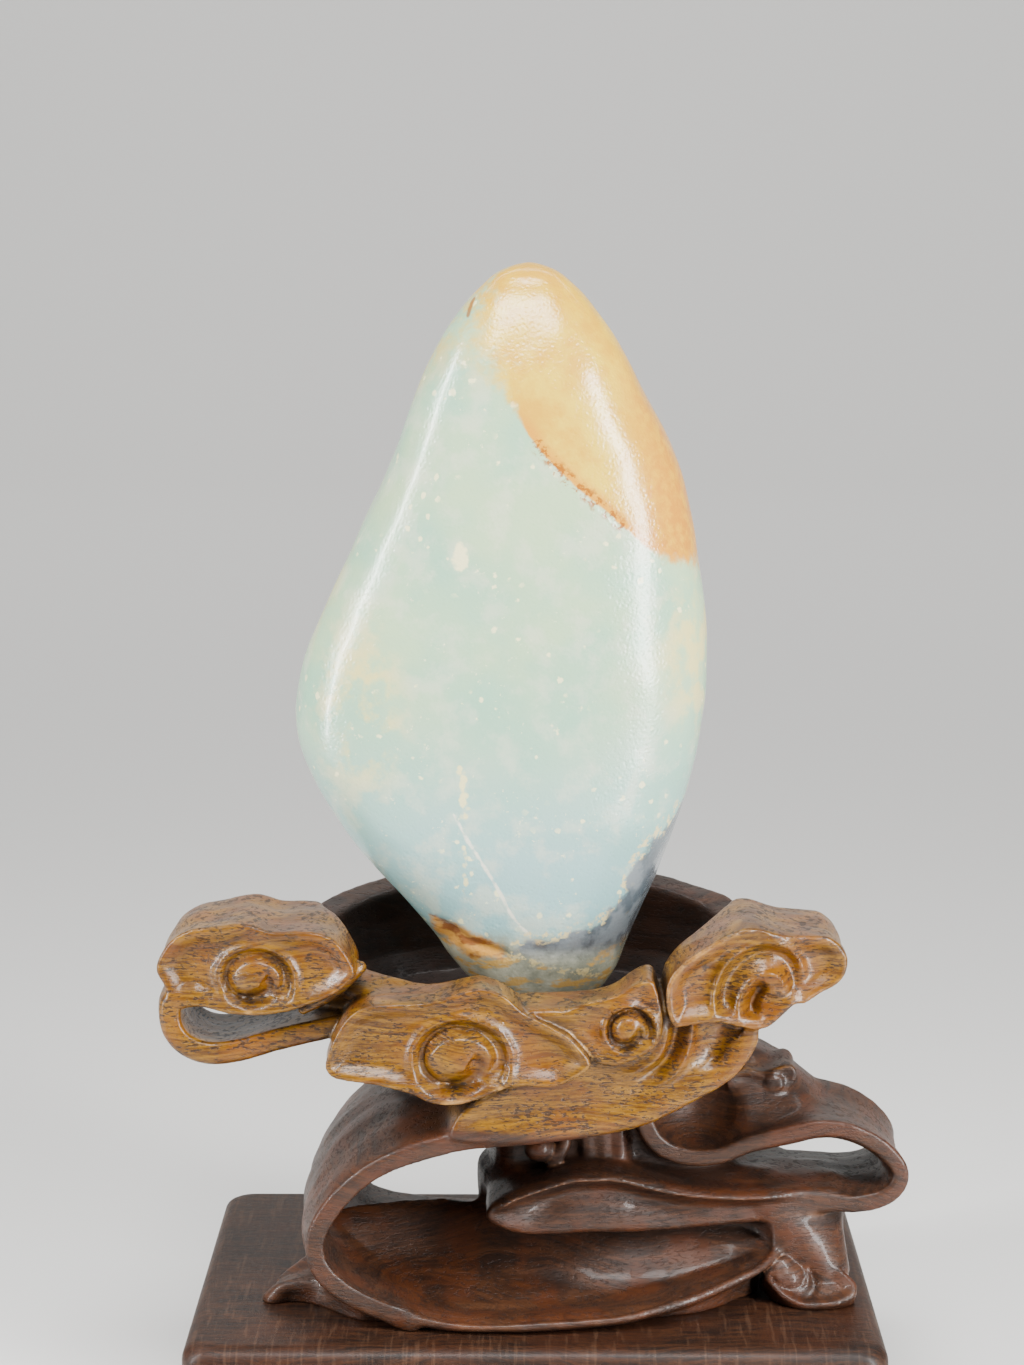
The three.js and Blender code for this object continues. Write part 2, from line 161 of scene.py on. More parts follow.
def waves(x, y, z, size, seed):
    """A soft wandering value from about -1 to 1, with bumps of about the given size."""
    rng = np.random.default_rng(seed)
    total = 0.0
    for _ in range(WAVE_COUNT):
        k = rng.normal(size=3)
        k *= 2 * math.pi / (size * np.linalg.norm(k) * rng.uniform(0.7, 1.6))
        total = total + np.sin(k[0] * x + k[1] * y + k[2] * z + rng.uniform(0, FULL_TURN))
    return total / WAVE_SUM


def outline_distance(points, u, v):
    """Signed distance to a closed outline, negative inside."""
    best = np.full(np.broadcast(u, v).shape, HUGE, np.float32)
    inside = np.zeros(best.shape, bool)
    for a, b in zip(points, np.roll(points, -1, axis=0)):
        ex, ey = b - a
        t = np.clip(((u - a[0]) * ex + (v - a[1]) * ey) / (ex * ex + ey * ey + TINY), 0, 1)
        best = np.minimum(best, (u - a[0] - t * ex) ** 2 + (v - a[1] - t * ey) ** 2)
        crossing = (b[0] - a[0]) * (v - a[1]) / (b[1] - a[1] + TINY) + a[0]
        inside ^= ((a[1] > v) != (b[1] > v)) & (u < crossing)
    return np.where(inside, -1, 1) * np.sqrt(best)


def path_distance(points, u, v):
    """Distance to an open path with its side's sign, and how far along it the nearest point is (0 to 1)."""
    best = np.full(np.broadcast(u, v).shape, HUGE, np.float32)
    side = np.ones(best.shape, np.float32)
    along = np.zeros(best.shape, np.float32)
    last = len(points) - 1
    for i in range(last):
        a, b = points[i], points[i + 1]
        ex, ey = b - a
        t = np.clip(((u - a[0]) * ex + (v - a[1]) * ey) / (ex * ex + ey * ey), 0, 1)
        dx = u - a[0] - t * ex
        dy = v - a[1] - t * ey
        far = dx * dx + dy * dy
        near = far < best
        best = np.where(near, far, best)
        side = np.where(near, np.sign(ex * dy - ey * dx), side)
        along = np.where(near, (i + t) / last, along)
    return side * np.sqrt(best), along


# The carving: a signed distance on a grid, negative inside the wood


class Carving:
    def __init__(self, low, high, step):
        self.low = np.array(low)
        self.step = step
        self.count = np.ceil((np.array(high) - self.low) / step).astype(int) + 1
        self.value = np.full(self.count, FAR_OFF, np.float32)

    def block(self, low, high):
        """The part of the grid inside a box, with its x, y and z."""
        a = np.clip(np.floor((np.array(low) - self.low) / self.step).astype(int), 0, self.count - 1)
        b = np.clip(np.ceil((np.array(high) - self.low) / self.step).astype(int) + 1, 1, self.count)
        axes = [(self.low[k] + self.step * np.arange(a[k], b[k])).astype(np.float32) for k in range(3)]
        x, y, z = axes[0][:, None, None], axes[1][None, :, None], axes[2][None, None, :]
        return tuple(slice(a[k], b[k]) for k in range(3)), x, y, z

    def add(self, low, high, shape, soft):
        """Joins a shape on inside a box, with a fillet about as wide as soft."""
        part, x, y, z = self.block(low, high)
        self.value[part] = smooth_min(self.value[part], shape(x, y, z), soft)

    def cut(self, low, high, shape, soft):
        """Takes a shape away inside a box."""
        part, x, y, z = self.block(low, high)
        self.value[part] = smooth_max(self.value[part], -shape(x, y, z), soft)

    def sample(self, p):
        """The distance at any points, read between those of the grid."""
        q = np.clip((p - self.low) / self.step, 0, self.count - 1.001)
        i = q.astype(int)
        f = (q - i).astype(np.float32)
        total = 0
        for cx in (0, 1):
            for cy in (0, 1):
                for cz in (0, 1):
                    weight = abs(1 - cx - f[:, 0]) * abs(1 - cy - f[:, 1]) * abs(1 - cz - f[:, 2])
                    total = total + weight * self.value[i[:, 0] + cx, i[:, 1] + cy, i[:, 2] + cz]
        return total

    def rise(self, p, h):
        """How much the distance rises across each point, along x, y and z."""
        return np.stack([self.sample(p + d) - self.sample(p - d) for d in np.eye(3) * h], axis=1)

    def settle(self, p, rounds=2):
        """Moves points onto the surface along the gradient."""
        h = self.step * PROBE_SHARE
        for _ in range(rounds):
            slope = self.rise(p, h) / (2 * h)
            size = np.maximum((slope**2).sum(axis=1), LEAST_SLOPE)
            move = -self.sample(p)[:, None] * slope / size[:, None]
            p = p + np.clip(move, -h, h)
        return p

    def surface(self):
        """A surface net: one point in each cell that the surface crosses, joined in quads."""
        v = self.value
        inside = v < 0
        total = np.zeros(np.array(v.shape) - 1, np.int8)
        corners = [(i, j, k) for i in (0, 1) for j in (0, 1) for k in (0, 1)]
        n = total.shape
        for i, j, k in corners:
            total += inside[i:i + n[0], j:j + n[1], k:k + n[2]]
        cells = np.argwhere((total > 0) & (total < 8))
        number = np.full(n, -1, np.int32)
        number[tuple(cells.T)] = np.arange(len(cells))
        at = {c: v[tuple((cells + c).T)] for c in corners}
        place = np.zeros((len(cells), 3))
        hits = np.zeros(len(cells))
        for a in corners:
            for axis in range(3):
                if a[axis]:
                    continue
                b = tuple(a[m] + (m == axis) for m in range(3))
                crossed = (at[a] < 0) != (at[b] < 0)
                t = np.where(crossed, at[a] / np.where(crossed, at[a] - at[b], 1), 0)
                spot = np.array(a) + t[:, None] * (np.array(b) - np.array(a))
                place += np.where(crossed[:, None], spot, 0)
                hits += crossed
        points = self.low + self.step * (cells + place / hits[:, None])
        quads = []
        for axis in range(3):
            u, w = (axis + 1) % 3, (axis + 2) % 3
            lower = [slice(1, -1)] * 3
            lower[axis] = slice(0, -1)
            upper = [slice(1, -1)] * 3
            upper[axis] = slice(1, None)
            first, second = inside[tuple(lower)], inside[tuple(upper)]
            edges = np.argwhere(first != second)
            leaving = first[tuple(edges.T)]
            base = edges + 1
            base[:, axis] -= 1
            ring = []
            for du, dw in ((-1, -1), (0, -1), (0, 0), (-1, 0)):
                c = base.copy()
                c[:, u] += du
                c[:, w] += dw
                ring.append(number[tuple(c.T)])
            ring = np.stack(ring, axis=1)
            ring[~leaving] = ring[~leaving][:, ::-1]
            quads.append(ring)
        return self.settle(points), np.vstack(quads)


# Nodes, written as expressions


class Value:
    """A node's output that Python's own operators work on."""

    def __init__(self, recipe, socket):
        self.recipe = recipe
        self.socket = socket

    def __add__(self, other):
        return self.recipe.maths("ADD", self, other)

    def __sub__(self, other):
        return self.recipe.maths("SUBTRACT", self, other)

    def __rsub__(self, other):
        return self.recipe.maths("SUBTRACT", other, self)

    def __mul__(self, other):
        return self.recipe.maths("MULTIPLY", self, other)

    def __truediv__(self, other):
        return self.recipe.maths("DIVIDE", self, other)

    def __rtruediv__(self, other):
        return self.recipe.maths("DIVIDE", other, self)

    __radd__ = __add__
    __rmul__ = __mul__


class Recipe:
    """Adds nodes to one tree."""

    def __init__(self, tree):
        self.tree = tree

    def node(self, kind, settings=None, values=None, output=0):
        made = self.tree.nodes.new(kind)
        for name, setting in (settings or {}).items():
            setattr(made, name, setting)
        for key, value in (values or {}).items():
            if isinstance(value, Value):
                self.tree.links.new(value.socket, made.inputs[key])
            else:
                made.inputs[key].default_value = value
        return Value(self, made.outputs[output])

    def maths(self, operation, *values):
        return self.node("ShaderNodeMath", {"operation": operation}, dict(enumerate(values)))

    def vector(self, operation, *values):
        return self.node("ShaderNodeVectorMath", {"operation": operation}, dict(enumerate(values)))

    def joined(self, x, y, z):
        return self.node("ShaderNodeCombineXYZ", None, {0: x, 1: y, 2: z})


class Finish(Recipe):
    """One material: what is the same all over is set on its shader, and the rest is mixed from patterns."""

    def __init__(self, name, constants):
        self.material = bpy.data.materials.new(name)
        self.material.use_nodes = True
        super().__init__(self.material.node_tree)
        self.shader = self.tree.nodes["Principled BSDF"]
        for key, value in constants.items():
            self.shader.inputs[key].default_value = value

    def place(self):
        """Object coordinates in millimetres."""
        metres = self.node("ShaderNodeTexCoord", output=3)
        return self.vector("MULTIPLY", metres, (1 / MM,) * 3)

    def part(self, vector, axis):
        return self.node("ShaderNodeSeparateXYZ", None, {0: vector}, output=axis)

    def kept(self, name):
        """A number that was kept on the mesh's corner points."""
        return self.node("ShaderNodeAttribute", {"attribute_name": name}, output=2)

    def noise(self, place, size, detail=2.0, rough=0.5, stretch=None):
        if stretch:
            place = self.vector("MULTIPLY", place, stretch)
        values = {"Vector": place, "Scale": 1 / size, "Detail": detail, "Roughness": rough}
        return self.node("ShaderNodeTexNoise", None, values)

    def grains(self, place, size):
        """Distance to the middle of the nearest grain, in grains."""
        return self.node("ShaderNodeTexVoronoi", None, {"Vector": place, "Scale": 1 / size})

    def smooth(self, value, low, high):
        settings = {"interpolation_type": "SMOOTHSTEP"}
        return self.node("ShaderNodeMapRange", settings, {0: value, 1: low, 2: high})

    def mix(self, factor, first, second):
        settings = {"data_type": "RGBA", "blend_type": "MIX"}
        return self.node("ShaderNodeMix", settings, {0: factor, 6: first, 7: second}, output=2)

    def layered(self, colour, *layers):
        """Lays one shade after another over a colour, each as much as its amount says."""
        for amount, over in layers:
            colour = self.mix(amount, colour, over)
        return colour

    def bump(self, height, strength, depth):
        values = {"Height": height, "Strength": strength, "Distance": depth * MM}
        return self.node("ShaderNodeBump", None, values)

    def feed(self, **sockets):
        for name, value in sockets.items():
            self.tree.links.new(value.socket, self.shader.inputs[name.replace("_", " ")])
        return self.material


def shade(red, green, blue):
    """A colour given as a screen shows it, from 0 to 255."""
    part = [v / 255 for v in (red, green, blue)]
    return (*[v / 12.92 if v <= 0.04045 else ((v + 0.055) / 1.055) ** 2.4 for v in part], 1)


# Where things are on the stand (front view outlines are x and z)

CLOUD_LEFT = [
    (-53.9, 71.6), (-52.1, 75.1), (-49.3, 77.0), (-45.6, 77.6), (-41.1, 78.3), (-37.3, 77.4), (-33.9, 77.5),
    (-30.5, 77.3), (-27.8, 75.9), (-25.4, 72.0), (-26.5, 70.2), (-28.5, 68.6), (-32.0, 67.0), (-35.4, 65.9),
    (-39.6, 65.3), (-44.0, 65.4), (-48.5, 66.3), (-51.6, 67.0), (-52.9, 69.1),
]
CLOUD_FRONT = [
    (-29.5, 59.2), (-28.7, 62.2), (-27.2, 65.2), (-25.5, 67.1), (-22.6, 68.3), (-16.9, 68.6), (-13.5, 69.2),
    (-8.6, 70.7), (-6.1, 70.5), (-3.8, 69.3), (-1.5, 67.3), (3.6, 64.6), (5.4, 63.2), (7.7, 60.2),
    (7.1, 58.9), (5.1, 57.5), (2.2, 56.5), (-3.5, 56.6), (-8.7, 54.5), (-11.8, 53.8), (-14.7, 54.2),
    (-17.0, 55.4), (-21.5, 56.7), (-27.8, 57.5),
]
CLOUD_SMALL = [
    (2.8, 66.0), (6.7, 68.0), (11.0, 69.1), (14.4, 71.1), (16.5, 71.3), (17.4, 68.9), (17.9, 65.6),
    (17.5, 62.9), (15.8, 61.1), (13.6, 60.0), (11.0, 59.1), (8.7, 59.6), (7.0, 61.4), (4.6, 63.6),
]
CLOUD_RIGHT = [
    (18.8, 71.6), (21.2, 74.3), (25.9, 77.2), (28.4, 78.3), (31.0, 78.6), (35.1, 77.4), (39.6, 77.0),
    (41.6, 76.6), (43.3, 75.2), (44.1, 73.5), (43.9, 71.5), (42.8, 69.9), (40.6, 68.6), (38.1, 67.2),
    (36.4, 67.0), (33.2, 64.3), (31.0, 64.0), (28.6, 64.5), (25.6, 65.2), (22.4, 65.0), (19.5, 64.9),
    (18.3, 68.5),
]
FOLD = [
    (30.9, 64.3), (29.6, 60.4), (26.9, 56.8), (22.4, 54.0), (15.8, 51.2), (7.2, 49.6), (0.7, 48.9),
    (-8, 48.4), (-12, 49.5), (-9, 54.0), (0, 57.5), (9, 60.5), (19, 66.5), (27, 67.5),
]
LOOP = [
    (-48.5, 68.0), (-52.2, 66.6), (-52.3, 62.6), (-50.2, 59.8), (-46.5, 58.5), (-41.9, 59.0), (-37, 60.4),
    (-28, 62.6),
]
CLOUD_BACK = [
    (-15.5, 70.0), (-13.5, 74.0), (-8.5, 76.0), (-3, 76.6), (2.5, 76.2), (8, 76.4), (13.5, 74.6),
    (15.6, 70.5), (13.2, 66.2), (7.5, 64.4), (1, 63.0), (-6, 64.2), (-12.5, 66.0),
]
CLOUD_BACK_SIDE = [
    (-12, 66.0), (-9.5, 70.8), (-4, 73.0), (2, 73.2), (8, 72.0), (11.8, 68.0), (10.5, 63.4), (4.5, 60.8),
    (-3, 60.6), (-9.5, 62.2),
]
SWEEP = [
    (28.5, 62), (26, 58.6), (20, 55.4), (12, 51.9), (0, 50.6), (-12, 49.2), (-21.5, 46.2), (-28.5, 41),
    (-32.6, 34.5), (-32.2, 29), (-28.6, 24.8), (-24, 22.2), (-20, 20.6),
]
FOOT_PLAN = [
    (-27, -22), (-20, -23.2), (0, -23.6), (14, -22.4), (24, -19.5), (30, -13.5), (34.5, -3), (36, 7),
    (31, 15.5), (18, 19.5), (-10, 20), (-28, 20), (-33, 8), (-34, -10),
]
TROUGH_RIM = [
    (9.2, 19.9), (15.6, 20.5), (23.3, 21.4), (28.2, 20.8), (31.9, 19.7), (34.4, 17.6), (35.4, 15.6),
    (35.0, 13.3), (32.2, 10.1), (27.5, 6.9), (22.6, 4.0), (17.2, 1.7), (12.2, -0.1), (3.6, -1.2),
    (-4.9, -1.8), (-12.1, -1.5), (-19.3, 0.7), (-25.2, 4.2), (-29.8, 10.0), (-32.0, 16.0), (-30.0, 23.0),
    (-18.0, 26.0), (-3.0, 24.0),
]
CURL = [
    (15, 48), (15.9, 44.6), (18.4, 41.6), (22.4, 40.2), (27, 40.4), (31.6, 42.2), (37.3, 43.6), (42, 44.6),
    (46.4, 43.9), (50.5, 41.6), (52.9, 38.4), (51.5, 35.8), (47.5, 34.6), (42, 34.8), (34, 35.2),
]
SHOULDER_LINE = [
    (14, 56), (24, 55.5), (30, 54.5), (36.6, 51.5), (40.4, 48.6), (43.6, 46.0), (47.5, 43.6), (52, 40),
]
TONGUE = [
    (-7.1, 33.2), (-6.4, 35.4), (-3.5, 37.2), (1.7, 38.8), (5.2, 39.7), (8.7, 39.8), (12.3, 39.6),
    (19.1, 37.7), (24.2, 36.6), (33.0, 36.1), (40, 36.2), (44.5, 35.8), (45.5, 33.8), (42, 32.2), (30, 31),
    (16, 30.4), (8.0, 30.4), (0.3, 30.3), (-3.9, 31.1),
]
TONGUE_CREST = [
    (-6.4, 34.2), (-3.3, 36.4), (1.8, 38.0), (5.4, 38.9), (9.0, 39.0), (12.4, 38.7), (19.0, 36.9),
    (26.0, 35.8), (33.0, 35.4), (40.0, 35.4),
]
TRUNK_PLAN = [
    (-8.5, 2), (-7, -4.5), (-2, -7.5), (8, -8), (22, -7), (33, -5), (38, 1), (37.5, 8), (31, 13.5),
    (15, 15.5), (0, 15), (-6.5, 9.5),
]
FOOT_FRONT = (-26.6, 21.8)
FOOT_BACK = (-4.0, 31.0)
FOOT_LEAN = math.atan2(FOOT_BACK[1] - FOOT_FRONT[1], FOOT_BACK[0] - FOOT_FRONT[0])

# A cloud scroll on a unit circle: its raised ring, the groove that winds in to the middle, the comma that
# parts the ball from the ring, and the crest over the ball
RING = [
    (0.80, -0.72), (0.98, -0.3), (0.97, 0.25), (0.68, 0.74), (0.05, 1.0), (-0.6, 0.8), (-0.97, 0.3),
    (-0.96, -0.3), (-0.66, -0.78), (-0.2, -1.0),
]
RING_GROOVE = [
    (0.84, -0.66), (0.84, -0.1), (0.68, 0.38), (0.3, 0.7), (-0.2, 0.72), (-0.6, 0.45), (-0.78, 0.05),
    (-0.7, -0.38), (-0.35, -0.62), (0.0, -0.56), (0.24, -0.34), (0.26, -0.08), (0.1, 0.04),
]
RING_COMMA = [(-0.5, -0.66), (-0.1, -0.6), (0.2, -0.4), (0.3, -0.12), (0.16, 0.02)]
RING_CREST = [
    (-0.62, -0.3), (-0.66, 0.02), (-0.42, 0.4), (0.0, 0.54), (0.42, 0.42), (0.64, 0.05), (0.6, -0.25),
]

# The right cloud's scroll hooks the other way
HOOK_RING = [
    (25.4, 65.6), (25.2, 69.6), (26.8, 73.4), (30.1, 75.8), (33.8, 76.2), (36.7, 74.4), (37.8, 71.3),
    (37.0, 68.4),
]
HOOK_GROOVE = [
    (26.9, 66.0), (26.9, 69.4), (28.4, 72.3), (31.0, 74.1), (33.8, 74.3), (35.9, 72.8), (36.3, 70.6),
    (35.0, 68.6),
]
HOOK_CREST = [(28.7, 65.4), (28.8, 68.2), (30.4, 70.8), (32.6, 71.9), (34.4, 71.5), (35.0, 70.2)]
HOOK_THROAT = [(30.6, 65.6), (30.8, 67.6), (31.8, 69.3), (33.2, 70.0)]

# The scroll head that rests on the plinth, on its own leaning plane
HEAD = [
    (-1.9, 3.2), (-0.5, 2.6), (2.4, 0.6), (5.3, -1.5), (6.8, -3.7), (6.2, -5.7), (3.6, -7), (1.1, -7.3),
    (-1.4, -7.2), (-4, -5.8), (-5.7, -3.9), (-6.5, -2.6), (-6.5, -1.7), (-5.3, -0.6), (-3.9, 0.2), (-3, 1.7),
]
HEAD_RING = [(-5.9, -3.2), (-4.9, -0.9), (-2.9, 0.4), (-0.9, -0.3), (0.0, -2.2), (-0.5, -4.4)]
HEAD_GROOVE = [(-0.9, 2.4), (0.5, 0.3), (0.9, -2.2), (0.2, -4.6), (-1.6, -5.9)]
HEAD_PLACE = (40, -13, 25)
HEAD_LEAN = math.radians(48)

# The knot above the curl
KNOT = [
    (28.5, 49.8), (30.5, 51.9), (34, 51.5), (37.4, 52.6), (38.9, 51.3), (38.2, 49.0), (35.8, 46.9),
    (32, 46.2),
]
KNOT_RING = [(33.2, 47.8), (35.2, 48.2), (36.8, 49.6), (36.5, 51.0)]

# Strokes: a path, its height, its width, and the share of its length that thins out at each end
FOLD_STROKES = [
    ([(22.3, 65.5), (21.6, 60.8), (19.5, 57.2), (15.5, 54.6)], 1.2, 0.7, (0.02, 0.35)),
    ([(20.2, 65.5), (19.4, 61.0), (17.4, 58.0), (13.5, 56.0)], -1.2, 0.9, (0.02, 0.4)),
    ([(18.9, 64.4), (17.8, 60.2), (14.6, 57.9), (10.5, 57.4)], 0.5, 0.6, (0.05, 0.35)),
    ([(26.6, 64.5), (25.2, 60.6), (22.3, 57.4)], -1.3, 2.4, (0.02, 0.5)),
]
TONGUE_STROKES = [
    (TONGUE_CREST, 1.5, 0.8, (0.06, 0.15)),
    ([(x, z - 2.8) for x, z in TONGUE_CREST[1:8]], -1.6, 1.8, (0.2, 0.4)),
]

# Swirls: strokes, and a ball by its middle, its two radii and its height
HOOK_SWIRL = ([
    (HOOK_RING, 0.9, 0.6, (0.08, 0.2)),
    (HOOK_GROOVE, -0.8, 1.0, (0.04, 0.25)),
    (HOOK_CREST, 0.8, 0.5, (0.1, 0.02)),
    (HOOK_THROAT, -1.5, 0.85, (0.02, 0.2)),
], (34.0, 70.3, 2.3, 2.2, 1.1))
HEAD_SWIRL = ([
    (HEAD_RING, 0.9, 0.6, (0.1, 0.2)),
    (HEAD_GROOVE, -0.9, 0.7, (0.1, 0.2)),
], (-3.0, -2.1, 2.3, 2.2, 1.5))
KNOT_SWIRL = ([(KNOT_RING, 0.7, 0.6, (0.1, 0.1))], (35.4, 49.9, 1.5, 1.4, 0.9))

# Roots: points of x, y, z and radius
LOOP_ROOT = [(-25, -18.5, 71.3, 0.9), (-28.5, -20, 68.2, 1.0), (-33, -20, 65.6, 0.8)]
RAMP = [(24, -4, 32, 5.5), (32, -6, 31, 6.2), (38, -8.5, 28.5, 5.4), (42.3, -12, 24.2, 3.2)]
RAMP_SIDE = [(43.5, -5, 33.5, 2.6), (42, -7.5, 29, 3.8), (43.5, -10.5, 23.5, 2.8)]
KNOB_ROOT = [(3.8, -9.0, 46.5, 0.8), (4.4, -9.8, 43.2, 0.9), (3.6, -10.2, 41.0, 1.0), (2.4, -10.2, 39.6, 0.8)]
WAVE_LONG = [
    (-38.2, -14.4, 19.8, 1.7), (-36, -13.6, 20.8, 2.3), (-32.5, -13.8, 21.2, 2.8), (-28.5, -15.5, 20.4, 2.8),
]
WAVE_CREST = [
    (-38.2, -15.8, 20.6, 0.9), (-37.2, -15.8, 21.9, 0.9), (-35.0, -15.6, 22.6, 0.9),
    (-32.0, -15.4, 22.6, 1.0),
]
WAVE_BACK = [(-36.2, -10.5, 20.4, 2.2), (-33, -9.5, 21.4, 3.0), (-29, -10, 21.0, 3.2)]
BEAD_RADIUS = 0.6
BEAD_POINTS = 70

# How crisp a raised line and a groove are
RIDGE_POWER, GROOVE_POWER = 1.4, 2.0

# How far forward the sweeping sheet comes, from its upper end to its foot
SWEEP_FRONTS = [-22.9, -24.1, -25.5, -26.3, -27.0, -27.0, -27.0, -27.0]

# The foot's hollow, the trunk, its shoulder, which ends where the curl turns back, and the flutes
TROUGH_DEPTH = 4.0
TRUNK_NARROWING = 0.8
SHOULDER_POINTS = 60
CURL_TURNS_BACK = 44
SHOULDER_ENDS = (14, 51.5)
SHOULDER_MIDDLE, SHOULDER_HALF = 0.5, 11.5
FLUTE_COUNT = 3
FLUTE_GAP = 2.3

# The cup's width at each level, as a share of its full width, outside and inside
CUP_WALL = ([47, 49, 52, 56.5, 62, 67, 71, 80], [0.4, 0.52, 0.64, 0.77, 0.88, 0.96, 1, 1.02])
CAVITY_WALL = ([61, 62.4, 65.5, 70, 76, 90], [0.6, 0.76, 0.87, 0.95, 1, 1.02])
CAVITY_SPREAD = 24
CUP_BOTTOM = 47


# Shapes of the carving, each a function of x, y and z


def stroke(points, u, v, height, width, ends):
    """A raised line, or with a negative height a groove, that thins out at its ends."""
    off, along = path_distance(spline(points, STROKE_POINTS), u, v)
    starts = smoothstep(-SLIVER, ends[0] + SLIVER, along)
    fade = starts * smoothstep(1 + SLIVER, 1 - ends[1] - SLIVER, along)
    shape = np.exp(-np.abs(off / width) ** (RIDGE_POWER if height > 0 else GROOVE_POWER))
    return height * fade * shape


def scroll(centre, radii, depth, crest=0.3):
    """The strokes and the ball of one cloud scroll."""

    def placed(points):
        return [(centre[0] + radii[0] * u, centre[1] + radii[1] * v) for u, v in points]

    size = (radii[0] + radii[1]) / 2
    strokes = [
        (placed(RING), 0.62 * depth, 0.13 * size, (0.06, 0.3)),
        (placed(RING_GROOVE), -0.42 * depth, 0.2 * size, (0.02, 0.12)),
        (placed(RING_CREST), crest, 0.09 * size, (0.2, 0.2)),
        (placed(RING_COMMA), -0.8 * depth, 0.2 * size, (0.25, 0.04)),
    ]
    middle = (centre[0] - 0.05 * radii[0], centre[1] + 0.06 * radii[1])
    return strokes, (*middle, 0.7 * radii[0], 0.7 * radii[1], 1.1 * depth)


def cloud_slab(outline, face, back, lean=(0, 0), swirl=None, strokes=(), dish=1.5, edge=0.3, reach=3.0):
    """A cloud with a dished face inside a crisp outline.

    lean is how fast the face goes back along x, and the x from which it does.
    """
    points = spline(outline, OUTLINE_POINTS, closed=True)

    def shape(x, y, z):
        side = outline_distance(points, x, z)
        relief = -dish * smoothstep(0.35, reach, -side)
        lines, ball = swirl or (strokes, None)
        if ball:
            q = ((x - ball[0]) / ball[2]) ** 2 + ((z - ball[1]) / ball[3]) ** 2
            relief = relief + ball[4] * np.sqrt(np.clip(1 - q, 0, 1)) + 0.4 * dish * np.exp(-(q / 3.2) ** 2)
        for path, height, width, ends in lines:
            relief = relief + stroke(path, x, z, height, width, ends)
        front = face + lean[0] * (x - lean[1]) - relief - y
        return smooth_max(smooth_max(side, front, edge), y - back, 2.0)

    return shape


def sheet(path, thickness, front, back, hollow=0.0, edge=0.9):
    """A carved sheet along a path; hollow bends its two long edges to the path's left side.

    front may be one depth or a list of depths along the path.
    """
    points = spline(path, PATH_POINTS)

    def shape(x, y, z):
        off, along = path_distance(points, x, z)
        fore = np.interp(along, np.linspace(0, 1, np.size(front)), np.atleast_1d(front))
        middle = (fore + back) / 2
        half = (back - fore) / 2
        across = (y - middle) / half
        bent = off - hollow * across**2
        flat = np.abs(bent) - thickness / 2 + edge
        wide = np.abs(y - middle) - half + edge
        corner = np.hypot(np.maximum(flat, 0), np.maximum(wide, 0))
        return np.minimum(np.maximum(flat, wide), 0) + corner - edge

    return shape


def upright(plan, low, high, edge=1.2):
    """A prism that stands on a plan of x and y."""
    points = spline(plan, PLAN_POINTS, closed=True)

    def shape(x, y, z):
        side = outline_distance(points, x, y)
        return smooth_max(smooth_max(side, z - high, edge), low - z, edge)

    return shape


def ellipsoid(middle, radii):
    """A rounded lump, or a hollow when it is cut."""

    def shape(x, y, z):
        a = (x - middle[0]) / radii[0]
        b = (y - middle[1]) / radii[1]
        d = (z - middle[2]) / radii[2]
        far = np.sqrt(a * a + b * b + d * d) + 1e-6
        slope = np.sqrt((a / radii[0]) ** 2 + (b / radii[1]) ** 2 + (d / radii[2]) ** 2) + 1e-6
        return far * (far - 1) / slope

    return shape


def root(points, count=24):
    """A rounded root along points of x, y, z and radius."""
    line = spline(points, count)

    def shape(x, y, z):
        best = np.float32(HUGE)
        for a, b in zip(line[:-1], line[1:]):
            d = b[:3] - a[:3]
            u, v, w = x - a[0], y - a[1], z - a[2]
            t = np.clip((u * d[0] + v * d[1] + w * d[2]) / (d @ d), 0, 1)
            far = np.sqrt((u - t * d[0]) ** 2 + (v - t * d[1]) ** 2 + (w - t * d[2]) ** 2)
            best = np.minimum(best, far - (a[3] + t * (b[3] - a[3])))
        return best

    return shape


def cup_height(y, z):
    """The level inside the cup's outer shape, whose rim rises to the back."""
    return z - RIM_RISE * (y / CUP_HALF[1]) * smoothstep(52, 71, z)


def cup_outside(x, y, z):
    level = cup_height(y, z)
    reach = np.sqrt(((x - CUP_X) / CUP_HALF[0]) ** 2 + (y / CUP_HALF[1]) ** 2)
    side = (reach - np.interp(level, *CUP_WALL)) * CUP_HALF[1]
    return smooth_max(smooth_max(side, level - RIM_HEIGHT, 1.6), CUP_BOTTOM - z, 1)


def cup_inside(x, y, z):
    reach = np.sqrt(((x - CUP_X) / CAVITY_HALF[0]) ** 2 + (y / CAVITY_HALF[1]) ** 2)
    return smooth_max((reach - np.interp(z, *CAVITY_WALL)) * CAVITY_SPREAD, CUP_FLOOR - z, 1.5)


def on_slope(y, z):
    """How far up the foot's slope a place is, and how high above it."""
    c, s = math.cos(FOOT_LEAN), math.sin(FOOT_LEAN)
    v, w = y - FOOT_FRONT[0], z - FOOT_FRONT[1]
    return v * c + w * s, w * c - v * s


def slope_place(x, up):
    """The place on the foot's slope that is the given way up it."""
    return x, FOOT_FRONT[0] + up * math.cos(FOOT_LEAN), FOOT_FRONT[1] + up * math.sin(FOOT_LEAN)


def foot(x, y, z):
    """The foot: a low base, and a sloping lip that overhangs it."""
    up, above = on_slope(y, z)
    rim = outline_distance(spline(TROUGH_RIM, PATH_POINTS, closed=True), x, up)
    lip = smooth_max(rim + 0.9 * np.clip(-above - 0.9, 0, 2.4), above, 0.5)
    low = smooth_max(upright(FOOT_PLAN, PLINTH_TOP - 2, 24)(x, y, z), above + 0.6, 0.8)
    return smooth_min(lip, low, 0.6)


